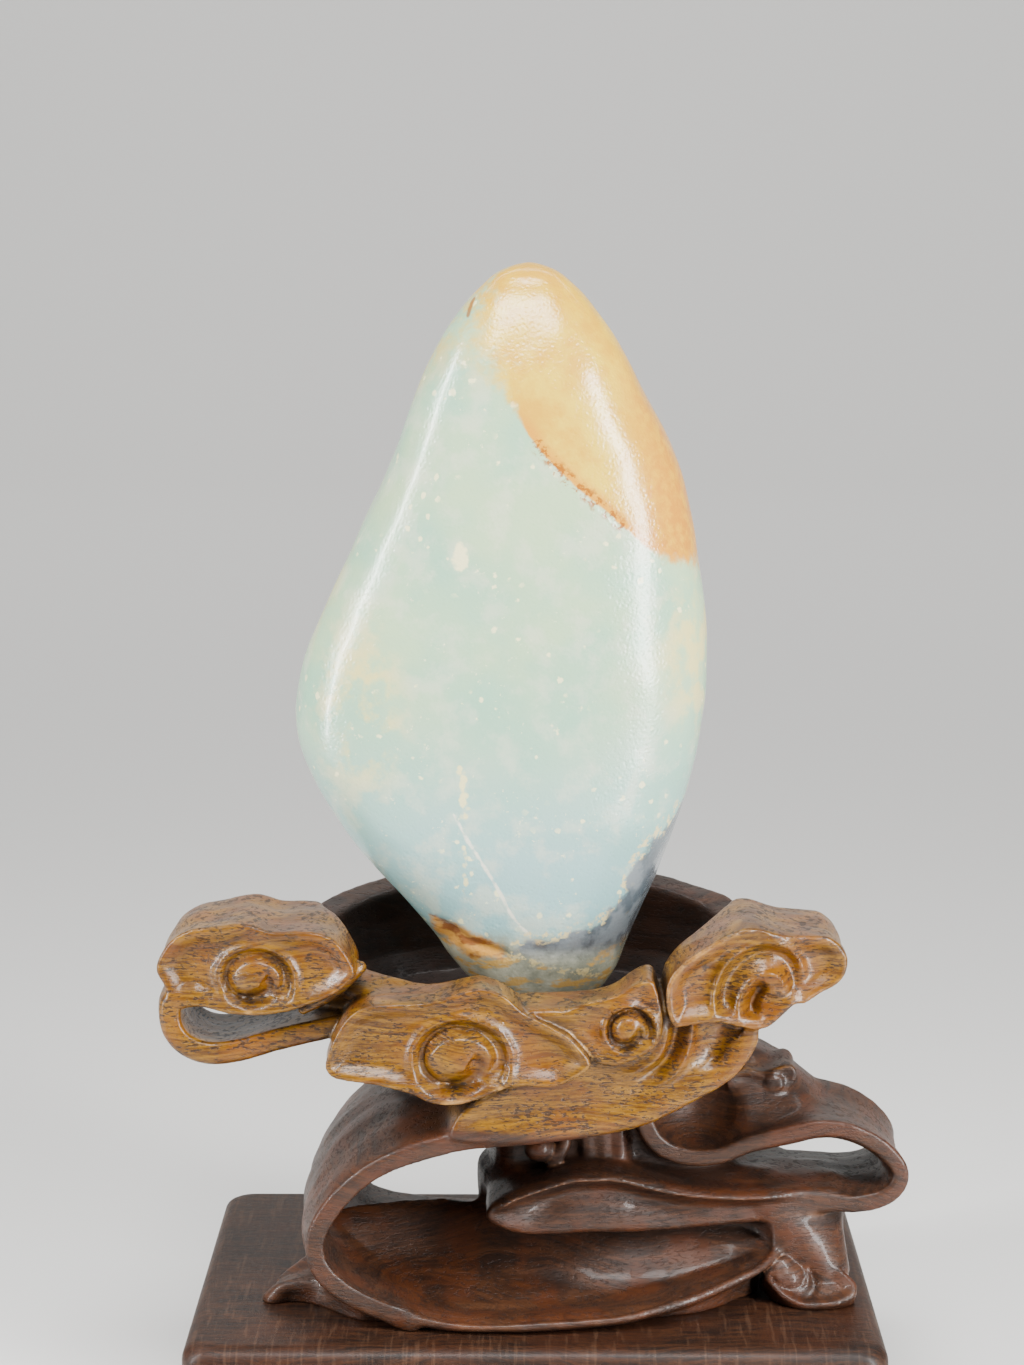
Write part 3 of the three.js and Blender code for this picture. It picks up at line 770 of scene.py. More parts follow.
def trough(x, y, z):
    """The hollow in the foot's slope."""
    up, above = on_slope(y, z)
    rim = outline_distance(spline(TROUGH_RIM, PATH_POINTS, closed=True), x, up)
    deep = TROUGH_DEPTH * smoothstep(0.5, 10.0, -rim)
    return smooth_max(-(above + deep), rim + 0.5, 0.3)


def shoulder(x, y, z):
    """The mass above the curl, which climbs from the curl's front edge to its own top line."""
    edge_line = spline(CURL, SHOULDER_POINTS)[:CURL_TURNS_BACK]
    edge_line = edge_line[np.argsort(edge_line[:, 0])]
    top_line = spline(SHOULDER_LINE, SHOULDER_POINTS)
    low = np.interp(x, edge_line[:, 0], edge_line[:, 1])
    high = np.interp(x, top_line[:, 0], top_line[:, 1])
    top = low + (high - low) * smoothstep(-11.0, 3.0, y) ** 0.8
    body = smooth_max((z - top) * 0.8, (low - 1.0 - z) * 0.8, 1.0)
    ends = smooth_max(SHOULDER_ENDS[0] - x, x - SHOULDER_ENDS[1], 1.0)
    return smooth_max(smooth_max(body, ends, 1.0), np.abs(y - SHOULDER_MIDDLE) - SHOULDER_HALF, 2.0)


def leaning(shape, place, lean):
    """A front-view shape on a plane that leans back."""
    c, s = math.cos(lean), math.sin(lean)

    def moved(x, y, z):
        up = (y - place[1]) * s + (z - place[2]) * c
        out = (z - place[2]) * s - (y - place[1]) * c
        return shape(x - place[0], -out, up)

    return moved


def facing(shape, middle, turn):
    """A front-view shape moved to stand round a point and turned about the vertical."""
    c, s = math.cos(math.radians(turn)), math.sin(math.radians(turn))

    def moved(x, y, z):
        u = (x - middle[0]) * c + (y - middle[1]) * s
        w = (y - middle[1]) * c - (x - middle[0]) * s
        return shape(-u, -w, z)

    return moved


def carve_cup(wood):
    """The cup, the fold and the clouds round it, and the loop; its hollow is cut last."""
    wood.add((-38, -29, 46), (36, 29, 80), cup_outside, 0.1)
    fold = cloud_slab(FOLD, -25.6, -8, (0.12, 5), strokes=FOLD_STROKES, dish=0.25, edge=0.8)
    wood.add((-36, -30, 46), (36, -4, 72), fold, 3.0)
    behind = cloud_slab(CLOUD_BACK, -10, 0, swirl=scroll((0.5, 70.0), (5.6, 5.0), 1.1))
    wood.add((-18, 12, 60), (20, 29.4, 79), facing(behind, (0, 17), 0), 0.6)
    beside = cloud_slab(CLOUD_BACK_SIDE, -9.5, 0, swirl=scroll((0.5, 66.8), (4.8, 4.3), 1.0))
    wood.add((-42, 2, 58), (-6, 29, 76), facing(beside, (-21, 13.5), 34), 0.6)
    wood.add((6, 2, 58), (42, 29, 76), facing(beside, (20, 14), -36), 0.6)
    left = cloud_slab(CLOUD_LEFT, -22, -2, (-0.14, -40), scroll((-39.5, 70.3), (5.6, 4.7), 1.45))
    wood.add((-56, -28, 62), (-22, 2, 81), left, 0.4)
    wood.add((-56, -24, 55), (-24, 0, 71), sheet(LOOP, 3.2, -20.5, -4, hollow=0.6), 1.0)
    wood.add((-40, -24, 60), (-20, -12, 78), root(LOOP_ROOT), 0.3)
    swirl = scroll((13.4, 64.2), (3.7, 3.6), 1.5, crest=0.2)
    small = cloud_slab(CLOUD_SMALL, -26.2, -13, swirl=swirl, dish=0.8)
    wood.add((0, -30, 56), (22, -9, 74), small, 0.3)
    front = cloud_slab(CLOUD_FRONT, -28.2, -12, swirl=scroll((-10.4, 60.3), (7.0, 6.1), 1.65, crest=0.6))
    wood.add((-32, -31, 50), (11, -9, 74), front, 0.3)
    right = cloud_slab(CLOUD_RIGHT, -24.4, -5, (0.17, 31), HOOK_SWIRL)
    wood.add((15, -29, 60), (47, -2, 81), right, 0.3)
    wood.cut((-36, -26, 58), (34, 26, 81), cup_inside, 1.0)


def carve_foot(wood):
    """The foot, the two ramps on its right, its hollow, and the bead along the hollow's front rim."""
    wood.add((-38, -31, 18), (40, 24, 34), foot, 1.5)
    for ramp, left in ((RAMP, 16), (RAMP_SIDE, 34)):
        wood.add((left, -22, 19), (50, 4, 40), root(ramp), 2.5)
    wood.cut((-36, -31, 18), (38, 2, 36), trough, 0.6)
    bead = [(*slope_place(x, up), BEAD_RADIUS) for x, up in TROUGH_RIM[:17]]
    wood.add((-26, -31, 18), (38, 0, 34), root(bead, BEAD_POINTS), 0.6)


def carve_sheets(wood):
    """The sweeping sheet, the trunk, its shoulder with a hollow, the tongue and the curl."""
    sweep = sheet(SWEEP, 2.8, SWEEP_FRONTS, 20, hollow=1.6, edge=0.6)
    wood.add((-38, -29, 18), (33, 23, 66), sweep, 2.2)
    wood.add((-12, -12, 18), (42, 19, 40), upright(TRUNK_PLAN, 18, 36), 2.5)
    narrow = [(x * TRUNK_NARROWING, y) for x, y in TRUNK_PLAN]
    wood.add((-12, -12, 32), (42, 19, 62), upright(narrow, 34, 60), 3.0)
    wood.add((12, -14, 36), (54, 14, 60), shoulder, 1.5)
    wood.cut((10, -20, 38), (34, 2, 60), ellipsoid((24.0, -11.0, 49.5), (8.4, 9.5, 8.2)), 1.0)
    tongue = cloud_slab(TONGUE, -15.4, 2, (0.12, 10), strokes=TONGUE_STROKES, dish=0.7, edge=1.4)
    wood.add((-10, -20, 26), (50, 5, 43), tongue, 1.2)
    wood.add((10, -15, 30), (56, 12, 52), sheet(CURL, 2.6, -12, 9, hollow=0.8, edge=0.6), 1.2)


def carve_small_ends(wood):
    """The scroll head and the wave on the plinth, then the knot, the knob and the flutes below the cup."""
    head = cloud_slab(HEAD, -1.0, 4.0, swirl=HEAD_SWIRL, dish=0.8, edge=0.4, reach=2.2)
    wood.add((31, -24, 18), (49, -4, 31), leaning(head, HEAD_PLACE, HEAD_LEAN), 0.5)
    for wave, high, soft in (
        (WAVE_LONG, (-24, -8, 26), 1.5),
        (WAVE_CREST, (-26, -8, 26), 1.2),
        (WAVE_BACK, (-24, -2, 26), 1.2),
    ):
        wood.add((-42, -20, 18), high, root(wave), soft)
    knot = cloud_slab(KNOT, -3.5, 6, swirl=KNOT_SWIRL, dish=0.6, edge=0.5, reach=2.0)
    wood.add((26, -8, 44), (42, 10, 56), knot, 0.6)
    wood.add((-4, -14, 37), (6, -4, 46), ellipsoid((0.6, -9.4, 41.6), (2.3, 2.5, 2.1)), 0.4)
    wood.add((-4, -16, 36), (9, -4, 50), root(KNOB_ROOT), 1.0)
    for k in range(FLUTE_COUNT):
        flute = [(7.6 + FLUTE_GAP * k, -7.4, 46.5, 1.3), (8.0 + FLUTE_GAP * k, -8.0, 40.0, 1.2)]
        wood.add((4, -14, 36), (16, -4, 50), root(flute), 1.2)


def carve_stand():
    """The whole stand, from the cup down to the foot."""
    wood = Carving(CARVE_LOW, CARVE_HIGH, CARVE_STEP)
    for carve in (carve_cup, carve_foot, carve_sheets, carve_small_ends):
        carve(wood)
    part, x, y, z = wood.block(CARVE_LOW, CARVE_HIGH)
    wood.value[part] += sum(height * waves(x, y, z, size, seed) for height, size, seed in TOOL_MARKS)
    wood.value[part] = np.maximum(wood.value[part], PLINTH_TOP - z)
    return wood


# Meshes


def to_mesh(name, points, faces):
    mesh = bpy.data.meshes.new(name)
    mesh.vertices.add(len(points))
    mesh.vertices.foreach_set("co", (points * MM).astype(np.float32).ravel())
    size = faces.shape[1]
    mesh.loops.add(faces.size)
    mesh.loops.foreach_set("vertex_index", faces.astype(np.int32).ravel())
    mesh.polygons.add(len(faces))
    mesh.polygons.foreach_set("loop_start", np.arange(0, faces.size, size, dtype=np.int32))
    mesh.polygons.foreach_set("use_smooth", np.ones(len(faces), bool))
    mesh.update(calc_edges=True)
    mesh.validate()
    piece = bpy.data.objects.new(name, mesh)
    bpy.context.collection.objects.link(piece)
    return piece


def places(piece):
    """A mesh's corner points in millimetres."""
    p = np.empty(len(piece.data.vertices) * 3, np.float32)
    piece.data.vertices.foreach_get("co", p)
    return p.reshape(-1, 3) / MM


def paint(piece, **layers):
    """Keeps a number for each corner point, which the material reads."""
    for name, value in layers.items():
        layer = piece.data.attributes.new(name, "FLOAT", "POINT")
        layer.data.foreach_set("value", np.asarray(value, np.float32).ravel())


def apply_modifiers(piece):
    view = bpy.context.evaluated_depsgraph_get()
    made = bpy.data.meshes.new_from_object(piece.evaluated_get(view))
    piece.modifiers.clear()
    old = piece.data
    piece.data = made
    bpy.data.meshes.remove(old)
    return piece


def thin(piece, most):
    triangles = sum(len(p.vertices) - 2 for p in piece.data.polygons)
    if triangles > most:
        modifier = piece.modifiers.new("thin", "DECIMATE")
        modifier.ratio = most / triangles
        apply_modifiers(piece)
    return piece


# Stone: where its colours lie, on the front and on the back (x and z)

SKIN_FRONT = [
    (-7, 158), (-4.2, 151.7), (-1.7, 147.6), (1.1, 143.9), (5.4, 139.7), (9.8, 136.2), (15.3, 131.2),
    (18.6, 128.6), (22.8, 127.6), (42, 127.2), (42, 180), (-10, 180),
]
SKIN_BACK = [
    (4, 160), (6, 152), (9, 146.6), (12.6, 139.6), (17, 134.4), (21, 130.0), (26, 128.0), (42, 127.2),
    (42, 180), (2, 180),
]
RUST_LINE = [(0.3, 145.4), (1.9, 143.3), (3.8, 141.3), (6.6, 139.0), (10.0, 136.0), (12.0, 134.2)]
FILM_CRACK = [(-8.2, 167.6), (-9.0, 165.3), (-9.7, 163.1)]
VEIN = [(-11.6, 92.9), (-9.6, 89.0), (-8.0, 86.3), (-5.1, 81.1), (-3.4, 77.6), (-0.8, 74.4)]
BEAD_LINE = [(-10.6, 99.5), (-10.2, 96.0), (-10.4, 92.5)]
BEAD_LINE_LOW = [(-10.2, 88.0), (-10.0, 84.0), (-10.1, 80.5)]
SLATE = [
    (22.0, 93.4), (18.0, 89.4), (15.0, 86.4), (13.4, 82.4), (11.6, 79.0), (8.6, 75.8), (4.0, 74.2),
    (-1.4, 73.4), (-4.0, 71.6), (4, 68.6), (14, 66.4), (34, 70), (34, 96),
]
RUST_PATCH = [
    (-16, 77.2), (-12.8, 76.4), (-8.4, 74.4), (-4.2, 72.6), (-4.6, 70.4), (-9.6, 70.6), (-12.6, 72.0),
    (-15, 74),
]
SLATE_BACK = [(24, 92), (16, 88), (12, 80), (6, 74), (0, 70), (6, 66), (34, 66), (34, 94)]
CREAM_SPOT = (-10.7, 129.7)
HEEL_SEAM = [(-13.8, 75.4), (-9.6, 73.0), (-4.6, 71.4)]
NOTCH = (-12.6, 73.4)
SPINE = ([58, 75, 95, 110, 127, 145, 160, 171], [1, 2, -3, -5, -1, 1, 2, 0])
LEFT_EDGE = [
    (-7.8, 165.6), (-11.3, 160.0), (-19.8, 144.6), (-26.3, 126.2), (-29.3, 117.5), (-29.0, 108.9),
    (-26.6, 97.2),
]


def pebble_points(around, rings):
    """The CAD's loft on a finer net, with both poles closed."""
    lift = np.linspace(math.pi / 2, -math.pi / 2, rings + 1)[:, None]
    turn = np.linspace(0, 2 * math.pi, around, endpoint=False)[None, :]
    station = (math.pi / 2 - lift) / math.pi * (len(PEBBLE_LEFT) - 1)
    left = between(PEBBLE_LEFT, station)
    right = between(PEBBLE_RIGHT, station)
    deep = np.maximum(between(PEBBLE_HALF_DEPTH, station), 0)
    c, s = np.cos(turn), np.sin(turn)
    back = smoothstep(-0.15, 0.15, s)
    to_left = smoothstep(0.25, -0.25, c)
    power = 2.4 * back + (1 - back) * (2.5 + 0.5 * to_left)
    reach = (np.abs(c) ** power + np.abs(s) ** power) ** (-1 / power)
    x = (left + right) / 2 + reach * c * (right - left) / 2
    y = reach * s * deep
    z = np.broadcast_to(PEBBLE_MIDDLE + PEBBLE_HALF_HEIGHT * np.sin(lift), x.shape)
    return np.stack([x, y, z], axis=-1)


def grid_normals(grid):
    """Outward directions on the net of points."""
    along = np.gradient(grid, axis=0)
    across = (np.roll(grid, -1, axis=1) - np.roll(grid, 1, axis=1)) / 2
    out = np.cross(across, along)
    return out / (np.linalg.norm(out, axis=-1, keepdims=True) + 1e-9) * -1


def wear_pebble(grid):
    """The river's work: a flat to the lower right, a notch, a rust seam and soft dimples."""
    x, y, z = grid[..., 0], grid[..., 1], grid[..., 2]
    front = smoothstep(2.0, -3.0, y)
    flat = -outline_distance(np.array(SLATE), x, z)
    seam = path_distance(np.array(HEEL_SEAM), x, z)[0]
    crack = path_distance(np.array(RUST_LINE), x, z)[0]
    push = 0.8 * front * smoothstep(0, 6, flat)
    push = push + 0.45 * front * np.exp(-(seam / 0.8) ** 2)
    push = push + 0.9 * np.exp(-((x - NOTCH[0]) ** 2 + (z - NOTCH[1]) ** 2) / 2.4)
    push = push + 0.14 * front * np.exp(-(crack / 0.5) ** 2)
    push = push + 0.22 + 0.2 * waves(x, y, z, 22.0, 8) + 0.05 * waves(x, y, z, 7.0, 9)
    to_end = np.minimum(PEBBLE_MIDDLE + PEBBLE_HALF_HEIGHT - z, z - PEBBLE_MIDDLE + PEBBLE_HALF_HEIGHT)
    ends = smoothstep(0, 3.0, to_end)
    return grid - grid_normals(grid) * (push * ends)[..., None]


def make_pebble():
    around, rings = PEBBLE_NET
    net = pebble_points(around, rings)
    worn = wear_pebble(net)
    worn[0], worn[-1] = net[0], net[-1]
    inner = worn[1:-1].reshape(-1, 3)
    points = np.vstack([worn[0, :1], inner, worn[-1, :1]])
    k = np.arange(around)
    nxt = (k + 1) % around
    quads = []
    for r in range(rings - 2):
        a = 1 + r * around
        quads.append(np.stack([a + k, a + around + k, a + around + nxt, a + nxt], axis=1))
    quads = np.vstack(quads)
    last = len(points) - 1
    top = np.stack([np.zeros_like(k), 1 + k, 1 + nxt], axis=1)
    base = 1 + (rings - 2) * around
    bottom = np.stack([np.full_like(k, last), base + nxt, base + k], axis=1)
    triangles = np.vstack([quads[:, [0, 1, 2]], quads[:, [0, 2, 3]], top, bottom])
    piece = to_mesh("jade_stone", points, triangles)
    paint_pebble(piece)
    return piece


def paint_pebble(piece):
    """Distances in millimetres to each of the stone's markings."""
    x, y, z = places(piece).T
    back = smoothstep(-4, 4, y)
    front = 1 - back

    def inside(front_outline, back_outline=None):
        value = -outline_distance(np.array(front_outline), x, z)
        other = -8.0 if back_outline is None else -outline_distance(np.array(back_outline), x, z)
        return value * front + other * back

    def away(path, keep=front):
        return np.abs(path_distance(spline(path, 40), x, z)[0]) + 9 * (1 - keep)

    skin = inside(SKIN_FRONT, SKIN_BACK)
    width = 0.35 + 5.0 * smoothstep(147, 158, z) + 1.6 * back
    width = width + 3.0 * smoothstep(14, 23, x) * smoothstep(138, 128, z)
    right_limb = smoothstep(6, 20, x - np.interp(z, *SPINE) + 0.15 * (z - 140))
    line = np.array(LEFT_EDGE)[::-1]
    past_left = np.interp(z, line[:, 1], line[:, 0]) - x
    film = smoothstep(150, 168, z) + 0.7 * smoothstep(0.5, 3.0, past_left) * smoothstep(112, 130, z)
    left_patch = smoothstep(9, 2, np.hypot(x + 25, (z - 108) * 0.5)) * front
    right_patch = smoothstep(8, 2, np.hypot(x - 23, (z - 115) * 0.5))
    paint(
        piece,
        skin=np.clip(skin / width, -4, 4),
        skin_depth=skin,
        rust_line=away(RUST_LINE),
        amber=np.clip(right_limb + smoothstep(160, 171, z) * 0.5, 0, 1),
        film=np.clip(film, 0, 1),
        film_crack=away(FILM_CRACK),
        vein=away(VEIN),
        beads=np.minimum(away(BEAD_LINE), away(BEAD_LINE_LOW) + 0.25),
        slate=inside(SLATE, SLATE_BACK),
        rust=inside(RUST_PATCH),
        patches=left_patch + 0.9 * right_patch,
        cream=np.hypot((x - CREAM_SPOT[0]) / 1.1, (z - CREAM_SPOT[1]) / 1.9) + 9 * back,
    )


# Where the painted light of the top (a lit gold copy of the wood) gives way to the shaded brown copy, and how
# far in and out the wood is felt for hollows and edges
PAINTED_LIGHT_EDGE = ([-60, -30, -22, -12, 0, 15, 60], [54, 54, 53, 50.5, 49.0, 49.0, 54])
NEAR, FURTHER, UNDER = 1.2, 3.0, 0.55


def paint_stand(piece, wood):
    """How worn, how dark in its hollows and how lit the wood is at each point: the edges' light is partly
    wear and partly a painted highlight, the hollows' dark partly wax and partly painted shade, and the gold
    top is painted light over a shaded brown copy of the wood.
    """
    p = places(piece)
    slope = wood.rise(p, 0.5)
    out = slope / (np.linalg.norm(slope, axis=1, keepdims=True) + 1e-6)
    x, y, z = p.T
    # Hollows darkened by how closed in they are: partly wax patina, partly painted shade.
    recess = 1 - (0.6 * wood.sample(p + NEAR * out) / NEAR + 0.4 * wood.sample(p + FURTHER * out) / FURTHER)
    # Edges lightened: partly rubbed wear, partly a painted highlight along them.
    worn = 1 + wood.sample(p - UNDER * out) / UNDER
    # The cup's inside is painted dark: partly a dark stain, partly painted shade.
    cup = smoothstep(1.2, -0.6, cup_inside(x, y, z))
    # Painted light: the top gets the lit gold copy of the wood, fading to the shaded brown copy lower down,
    # in the cup, towards the back and behind the front below the rim.
    gold = smoothstep(-1.6, 1.4, z - np.interp(x, *PAINTED_LIGHT_EDGE)) * (1 - 0.85 * cup)
    gold = gold * (1 - 0.75 * smoothstep(-8, 6, y))
    gold = gold * (1 - 0.4 * smoothstep(-14, -4, y) * smoothstep(74, 66, z))
    paint(piece, recess=np.clip(recess, 0, 1), worn=np.clip(worn, 0, 1), gold=np.clip(gold, 0, 1), cup=cup)


# Plinth: a rounded block, raised from its plan ring by ring


def plinth_rings():
    """How far in from the sides and how high each ring of the block is, in millimetres."""
    r = PLINTH_SHOULDER
    turns = [math.radians(90 * k / SHOULDER_STEPS) for k in range(SHOULDER_STEPS + 1)]
    lower = [(r * (1 - math.sin(a)), r * (1 - math.cos(a))) for a in turns]
    upper = [(r * (1 - math.cos(a)), PLINTH_TOP - r * (1 - math.sin(a))) for a in turns]
    straight = [(0, r + 0.5), (0, PLINTH_TOP - r - 0.5)]
    return lower + straight + upper + [(r + 0.6, PLINTH_TOP)]


def plinth_tree():
    """Geometry Nodes: the plan is filled, then raised and drawn in for each ring."""
    tree = bpy.data.node_groups.new("plinth block", "GeometryNodeTree")
    sizes = {"Width": 2 * PLINTH_HALF_WIDTH, "Depth": 2 * PLINTH_HALF_DEPTH, "Corner": PLINTH_CORNER}
    for name, value in sizes.items():
        socket = tree.interface.new_socket(name, in_out="INPUT", socket_type="NodeSocketFloat")
        socket.default_value = value * MM
    tree.interface.new_socket("Finish", in_out="INPUT", socket_type="NodeSocketMaterial")
    tree.interface.new_socket("Block", in_out="OUTPUT", socket_type="NodeSocketGeometry")
    build = Recipe(tree)
    given = tree.nodes.new("NodeGroupInput")
    width, depth, corner, finish = (Value(build, given.outputs[n]) for n in (*sizes, "Finish"))
    sides = {"Width": width, "Height": depth}
    plan = build.node("GeometryNodeCurvePrimitiveQuadrilateral", {"mode": "RECTANGLE"}, sides)
    rounding = {"Curve": plan, "Radius": corner, "Count": 8}
    plan = build.node("GeometryNodeFilletCurve", {"mode": "POLY"}, rounding)
    block = build.node("GeometryNodeFillCurve", {"mode": "NGONS"}, {"Curve": plan})
    place = build.node("GeometryNodeInputPosition")
    rings = plinth_rings()

    def drawn_in(inset):
        return build.joined(1 - 2 * inset * MM / width, 1 - 2 * inset * MM / depth, 1.0)

    scale = drawn_in(rings[0][0])
    values = {"Geometry": block, "Position": build.vector("MULTIPLY", place, scale)}
    block = build.node("GeometryNodeSetPosition", None, values)
    under = build.node("GeometryNodeFlipFaces", None, {"Mesh": block})
    upper_face = None
    for (_, low), (inset, high) in zip(rings[:-1], rings[1:]):
        raised = tree.nodes.new("GeometryNodeExtrudeMesh")
        raised.inputs["Individual"].default_value = False
        tree.links.new(block.socket, raised.inputs["Mesh"])
        tree.links.new(build.joined(0.0, 0.0, (high - low) * MM).socket, raised.inputs["Offset"])
        if upper_face:
            tree.links.new(upper_face.socket, raised.inputs["Selection"])
        upper_face = Value(build, raised.outputs["Top"])
        wider = drawn_in(inset)
        moved = build.vector("MULTIPLY", place, build.vector("DIVIDE", wider, scale))
        grown_block = Value(build, raised.outputs["Mesh"])
        values = {"Geometry": grown_block, "Selection": upper_face, "Position": moved}
        block = build.node("GeometryNodeSetPosition", None, values)
        scale = wider
    both = tree.nodes.new("GeometryNodeJoinGeometry")
    tree.links.new(under.socket, both.inputs[0])
    tree.links.new(block.socket, both.inputs[0])
    values = {"Geometry": Value(build, both.outputs[0]), "Distance": 0.00001}
    closed = build.node("GeometryNodeMergeByDistance", None, values)
    smooth = build.node("GeometryNodeSetShadeSmooth", None, {"Geometry": closed})
    real = build.node("GeometryNodeRealizeInstances", None, {"Geometry": smooth})
    dressed = build.node("GeometryNodeSetMaterial", None, {"Geometry": real, "Material": finish})
    tree.links.new(dressed.socket, tree.nodes.new("NodeGroupOutput").inputs[0])
    return tree


def make_plinth(finish):
    block = bpy.data.objects.new("plinth_block", bpy.data.meshes.new("plinth_block"))
    bpy.context.collection.objects.link(block)
    modifier = block.modifiers.new("block", "NODES")
    modifier.node_group = plinth_tree()
    for socket in modifier.node_group.interface.items_tree:
        if socket.name == "Finish":
            modifier[socket.identifier] = finish
    return apply_modifiers(block)


# Finishes

CELADON, CELADON_DEEP, CELADON_BLUE = shade(172, 198, 154), shade(144, 188, 158), shade(134, 176, 184)
MILKY, STRAW, YELLOW_FILM = shade(206, 208, 184), shade(222, 204, 122), shade(214, 178, 70)
SPECK, TINY_SPECK, CREAM = shade(242, 236, 180), shade(240, 236, 190), shade(240, 232, 178)
BEAD, PALE_VEIN, BRINK_CREAM = shade(232, 222, 158), shade(232, 228, 206), shade(226, 206, 146)
HONEY, HONEY_PALE, SKIN_RIM = shade(212, 158, 2), shade(224, 186, 34), shade(212, 136, 0)
AMBER, AMBER_PALE = shade(200, 128, 0), shade(216, 158, 2)
RUST_SPOT, SPLIT_BROWN = shade(150, 84, 14), shade(146, 92, 40)
FOOT_GREY, FOOT_PALE, FOOT_ORANGE = shade(146, 144, 122), shade(190, 186, 160), shade(216, 164, 66)
SLATE_DARK, SLATE_PALE = shade(82, 86, 94), shade(122, 128, 134)
RUST_ORANGE, RUST_BROWN = shade(222, 158, 62), shade(150, 84, 30)


def jade_finish():
    jade = Finish("jade", {
        "IOR": 1.6,
        "Subsurface Weight": 0.12,
        "Subsurface Radius": (1.0, 0.9, 0.7),
        "Subsurface Scale": 0.004,
        "Coat Weight": 0.3,
        "Coat Roughness": 0.12,
    })
    p = jade.place()
    height = jade.part(p, 2)
    cloud = jade.noise(p, 16, 3)
    mottle = jade.noise(p, 5, 4, 0.6)
    fine = jade.noise(p, 1.5, 3, 0.6)
    grain = jade.noise(p, 0.42, 2, 0.6)
    speck = jade.smooth(jade.grains(p, 2.3) + (fine - 0.5) * 0.9, 0.2, 0.1)
    tiny = jade.smooth(jade.noise(p, 0.75, 3, 0.7), 0.62, 0.7) * jade.smooth(jade.noise(p, 6, 2), 0.5, 0.64)
    body = jade.layered(
        jade.mix(jade.smooth(cloud, 0.35, 0.65), CELADON, CELADON_DEEP),
        (jade.smooth(height + cloud * 30, 128, 96) * 0.8, CELADON_BLUE),
        (jade.smooth(mottle, 0.46, 0.66) * 0.45, MILKY),
        (jade.kept("patches") * jade.smooth(mottle, 0.42, 0.6) * 0.8, STRAW),
        (jade.kept("film") * jade.smooth(mottle + fine * 0.4, 0.52, 0.8), YELLOW_FILM),
        (speck * jade.smooth(jade.noise(p, 8, 1), 0.47, 0.6) * 0.85, SPECK),
        (tiny * 0.75, TINY_SPECK),
        (jade.smooth(jade.kept("cream") + fine * 1.6, 1.95, 1.5) * 0.9, CREAM),
        (jade.smooth(jade.kept("beads") + jade.grains(p, 1.2) * 1.4, 1.35, 0.9) * 0.9, BEAD),
        (jade.smooth(jade.kept("vein") + fine * 0.6, 0.62, 0.38) * 0.85, PALE_VEIN),
    )

    honey = jade.mix(jade.smooth(mottle, 0.36, 0.66), HONEY, HONEY_PALE)
    amber = jade.mix(jade.smooth(fine, 0.35, 0.7), AMBER, AMBER_PALE)
    warm = jade.smooth(jade.kept("amber") + (mottle - 0.5) * 0.9, 0.25, 1.0)
    rim = jade.smooth(jade.kept("skin_depth"), 2.4, 0.3) * jade.smooth(height, 152, 147)
    skin = jade.layered(jade.mix(warm, honey, amber), (rim * 0.8, SKIN_RIM))
    skin_reach = jade.smooth(jade.kept("skin") + (fine - 0.5) * 1.5 + (mottle - 0.5) * 1.2, -0.5, 0.6)
    near = jade.smooth(jade.kept("rust_line") + fine * 1.4, 2.1, 1.2)
    spots = near * jade.smooth(jade.noise(p, 0.9, 3, 0.65), 0.46, 0.6)
    split = jade.smooth(jade.kept("film_crack") + fine * 0.5, 0.6, 0.38)

    foot_reach = jade.smooth(height + (mottle - 0.5) * 9, 76, 71.5)
    streak = jade.noise(p, 1.0, 3, 0.6, stretch=(0.22, 0.22, 0.55))
    foot = jade.layered(
        jade.mix(jade.smooth(mottle, 0.4, 0.62), FOOT_GREY, FOOT_PALE),
        (jade.smooth(streak, 0.5, 0.62) * 0.9, FOOT_ORANGE),
    )
    flat = jade.kept("slate") + (mottle - 0.5) * 4.5
    slate_reach = jade.smooth(flat + (fine - 0.5) * 1.4, -0.2, 0.7)
    slate = jade.mix(jade.smooth(mottle, 0.4, 0.6), SLATE_DARK, SLATE_PALE)
    brink = jade.smooth(jade.maths("ABSOLUTE", flat + 0.2), 1.1, 0.35)
    rust_reach = jade.smooth(jade.kept("rust") + (fine - 0.5) * 2.2 + (mottle - 0.5) * 1.5, -0.4, 0.8)
    rust = jade.mix(jade.smooth(streak, 0.45, 0.58), RUST_ORANGE, RUST_BROWN)
    colour = jade.layered(
        body,
        (skin_reach * 0.95, skin),
        (spots * 0.9, RUST_SPOT),
        (split * 0.85, SPLIT_BROWN),
        (foot_reach * 0.9, foot),
        (slate_reach * jade.smooth(height, 69, 73) * 0.92, slate),
        (brink * jade.smooth(jade.noise(p, 1.3, 3, 0.65), 0.5, 0.6) * 0.85, BRINK_CREAM),
        (rust_reach * 0.9, rust),
    )
    rough = 0.17 + grain * 0.12 - slate_reach * 0.03
    pits = jade.smooth(jade.grains(p, 0.75), 0.05, 0.5)
    normal = jade.bump(grain * 0.9 + pits * 0.5 + fine * 0.2, 0.8, 0.06)
    return jade.feed(Base_Color=colour, Roughness=rough, Normal=normal)


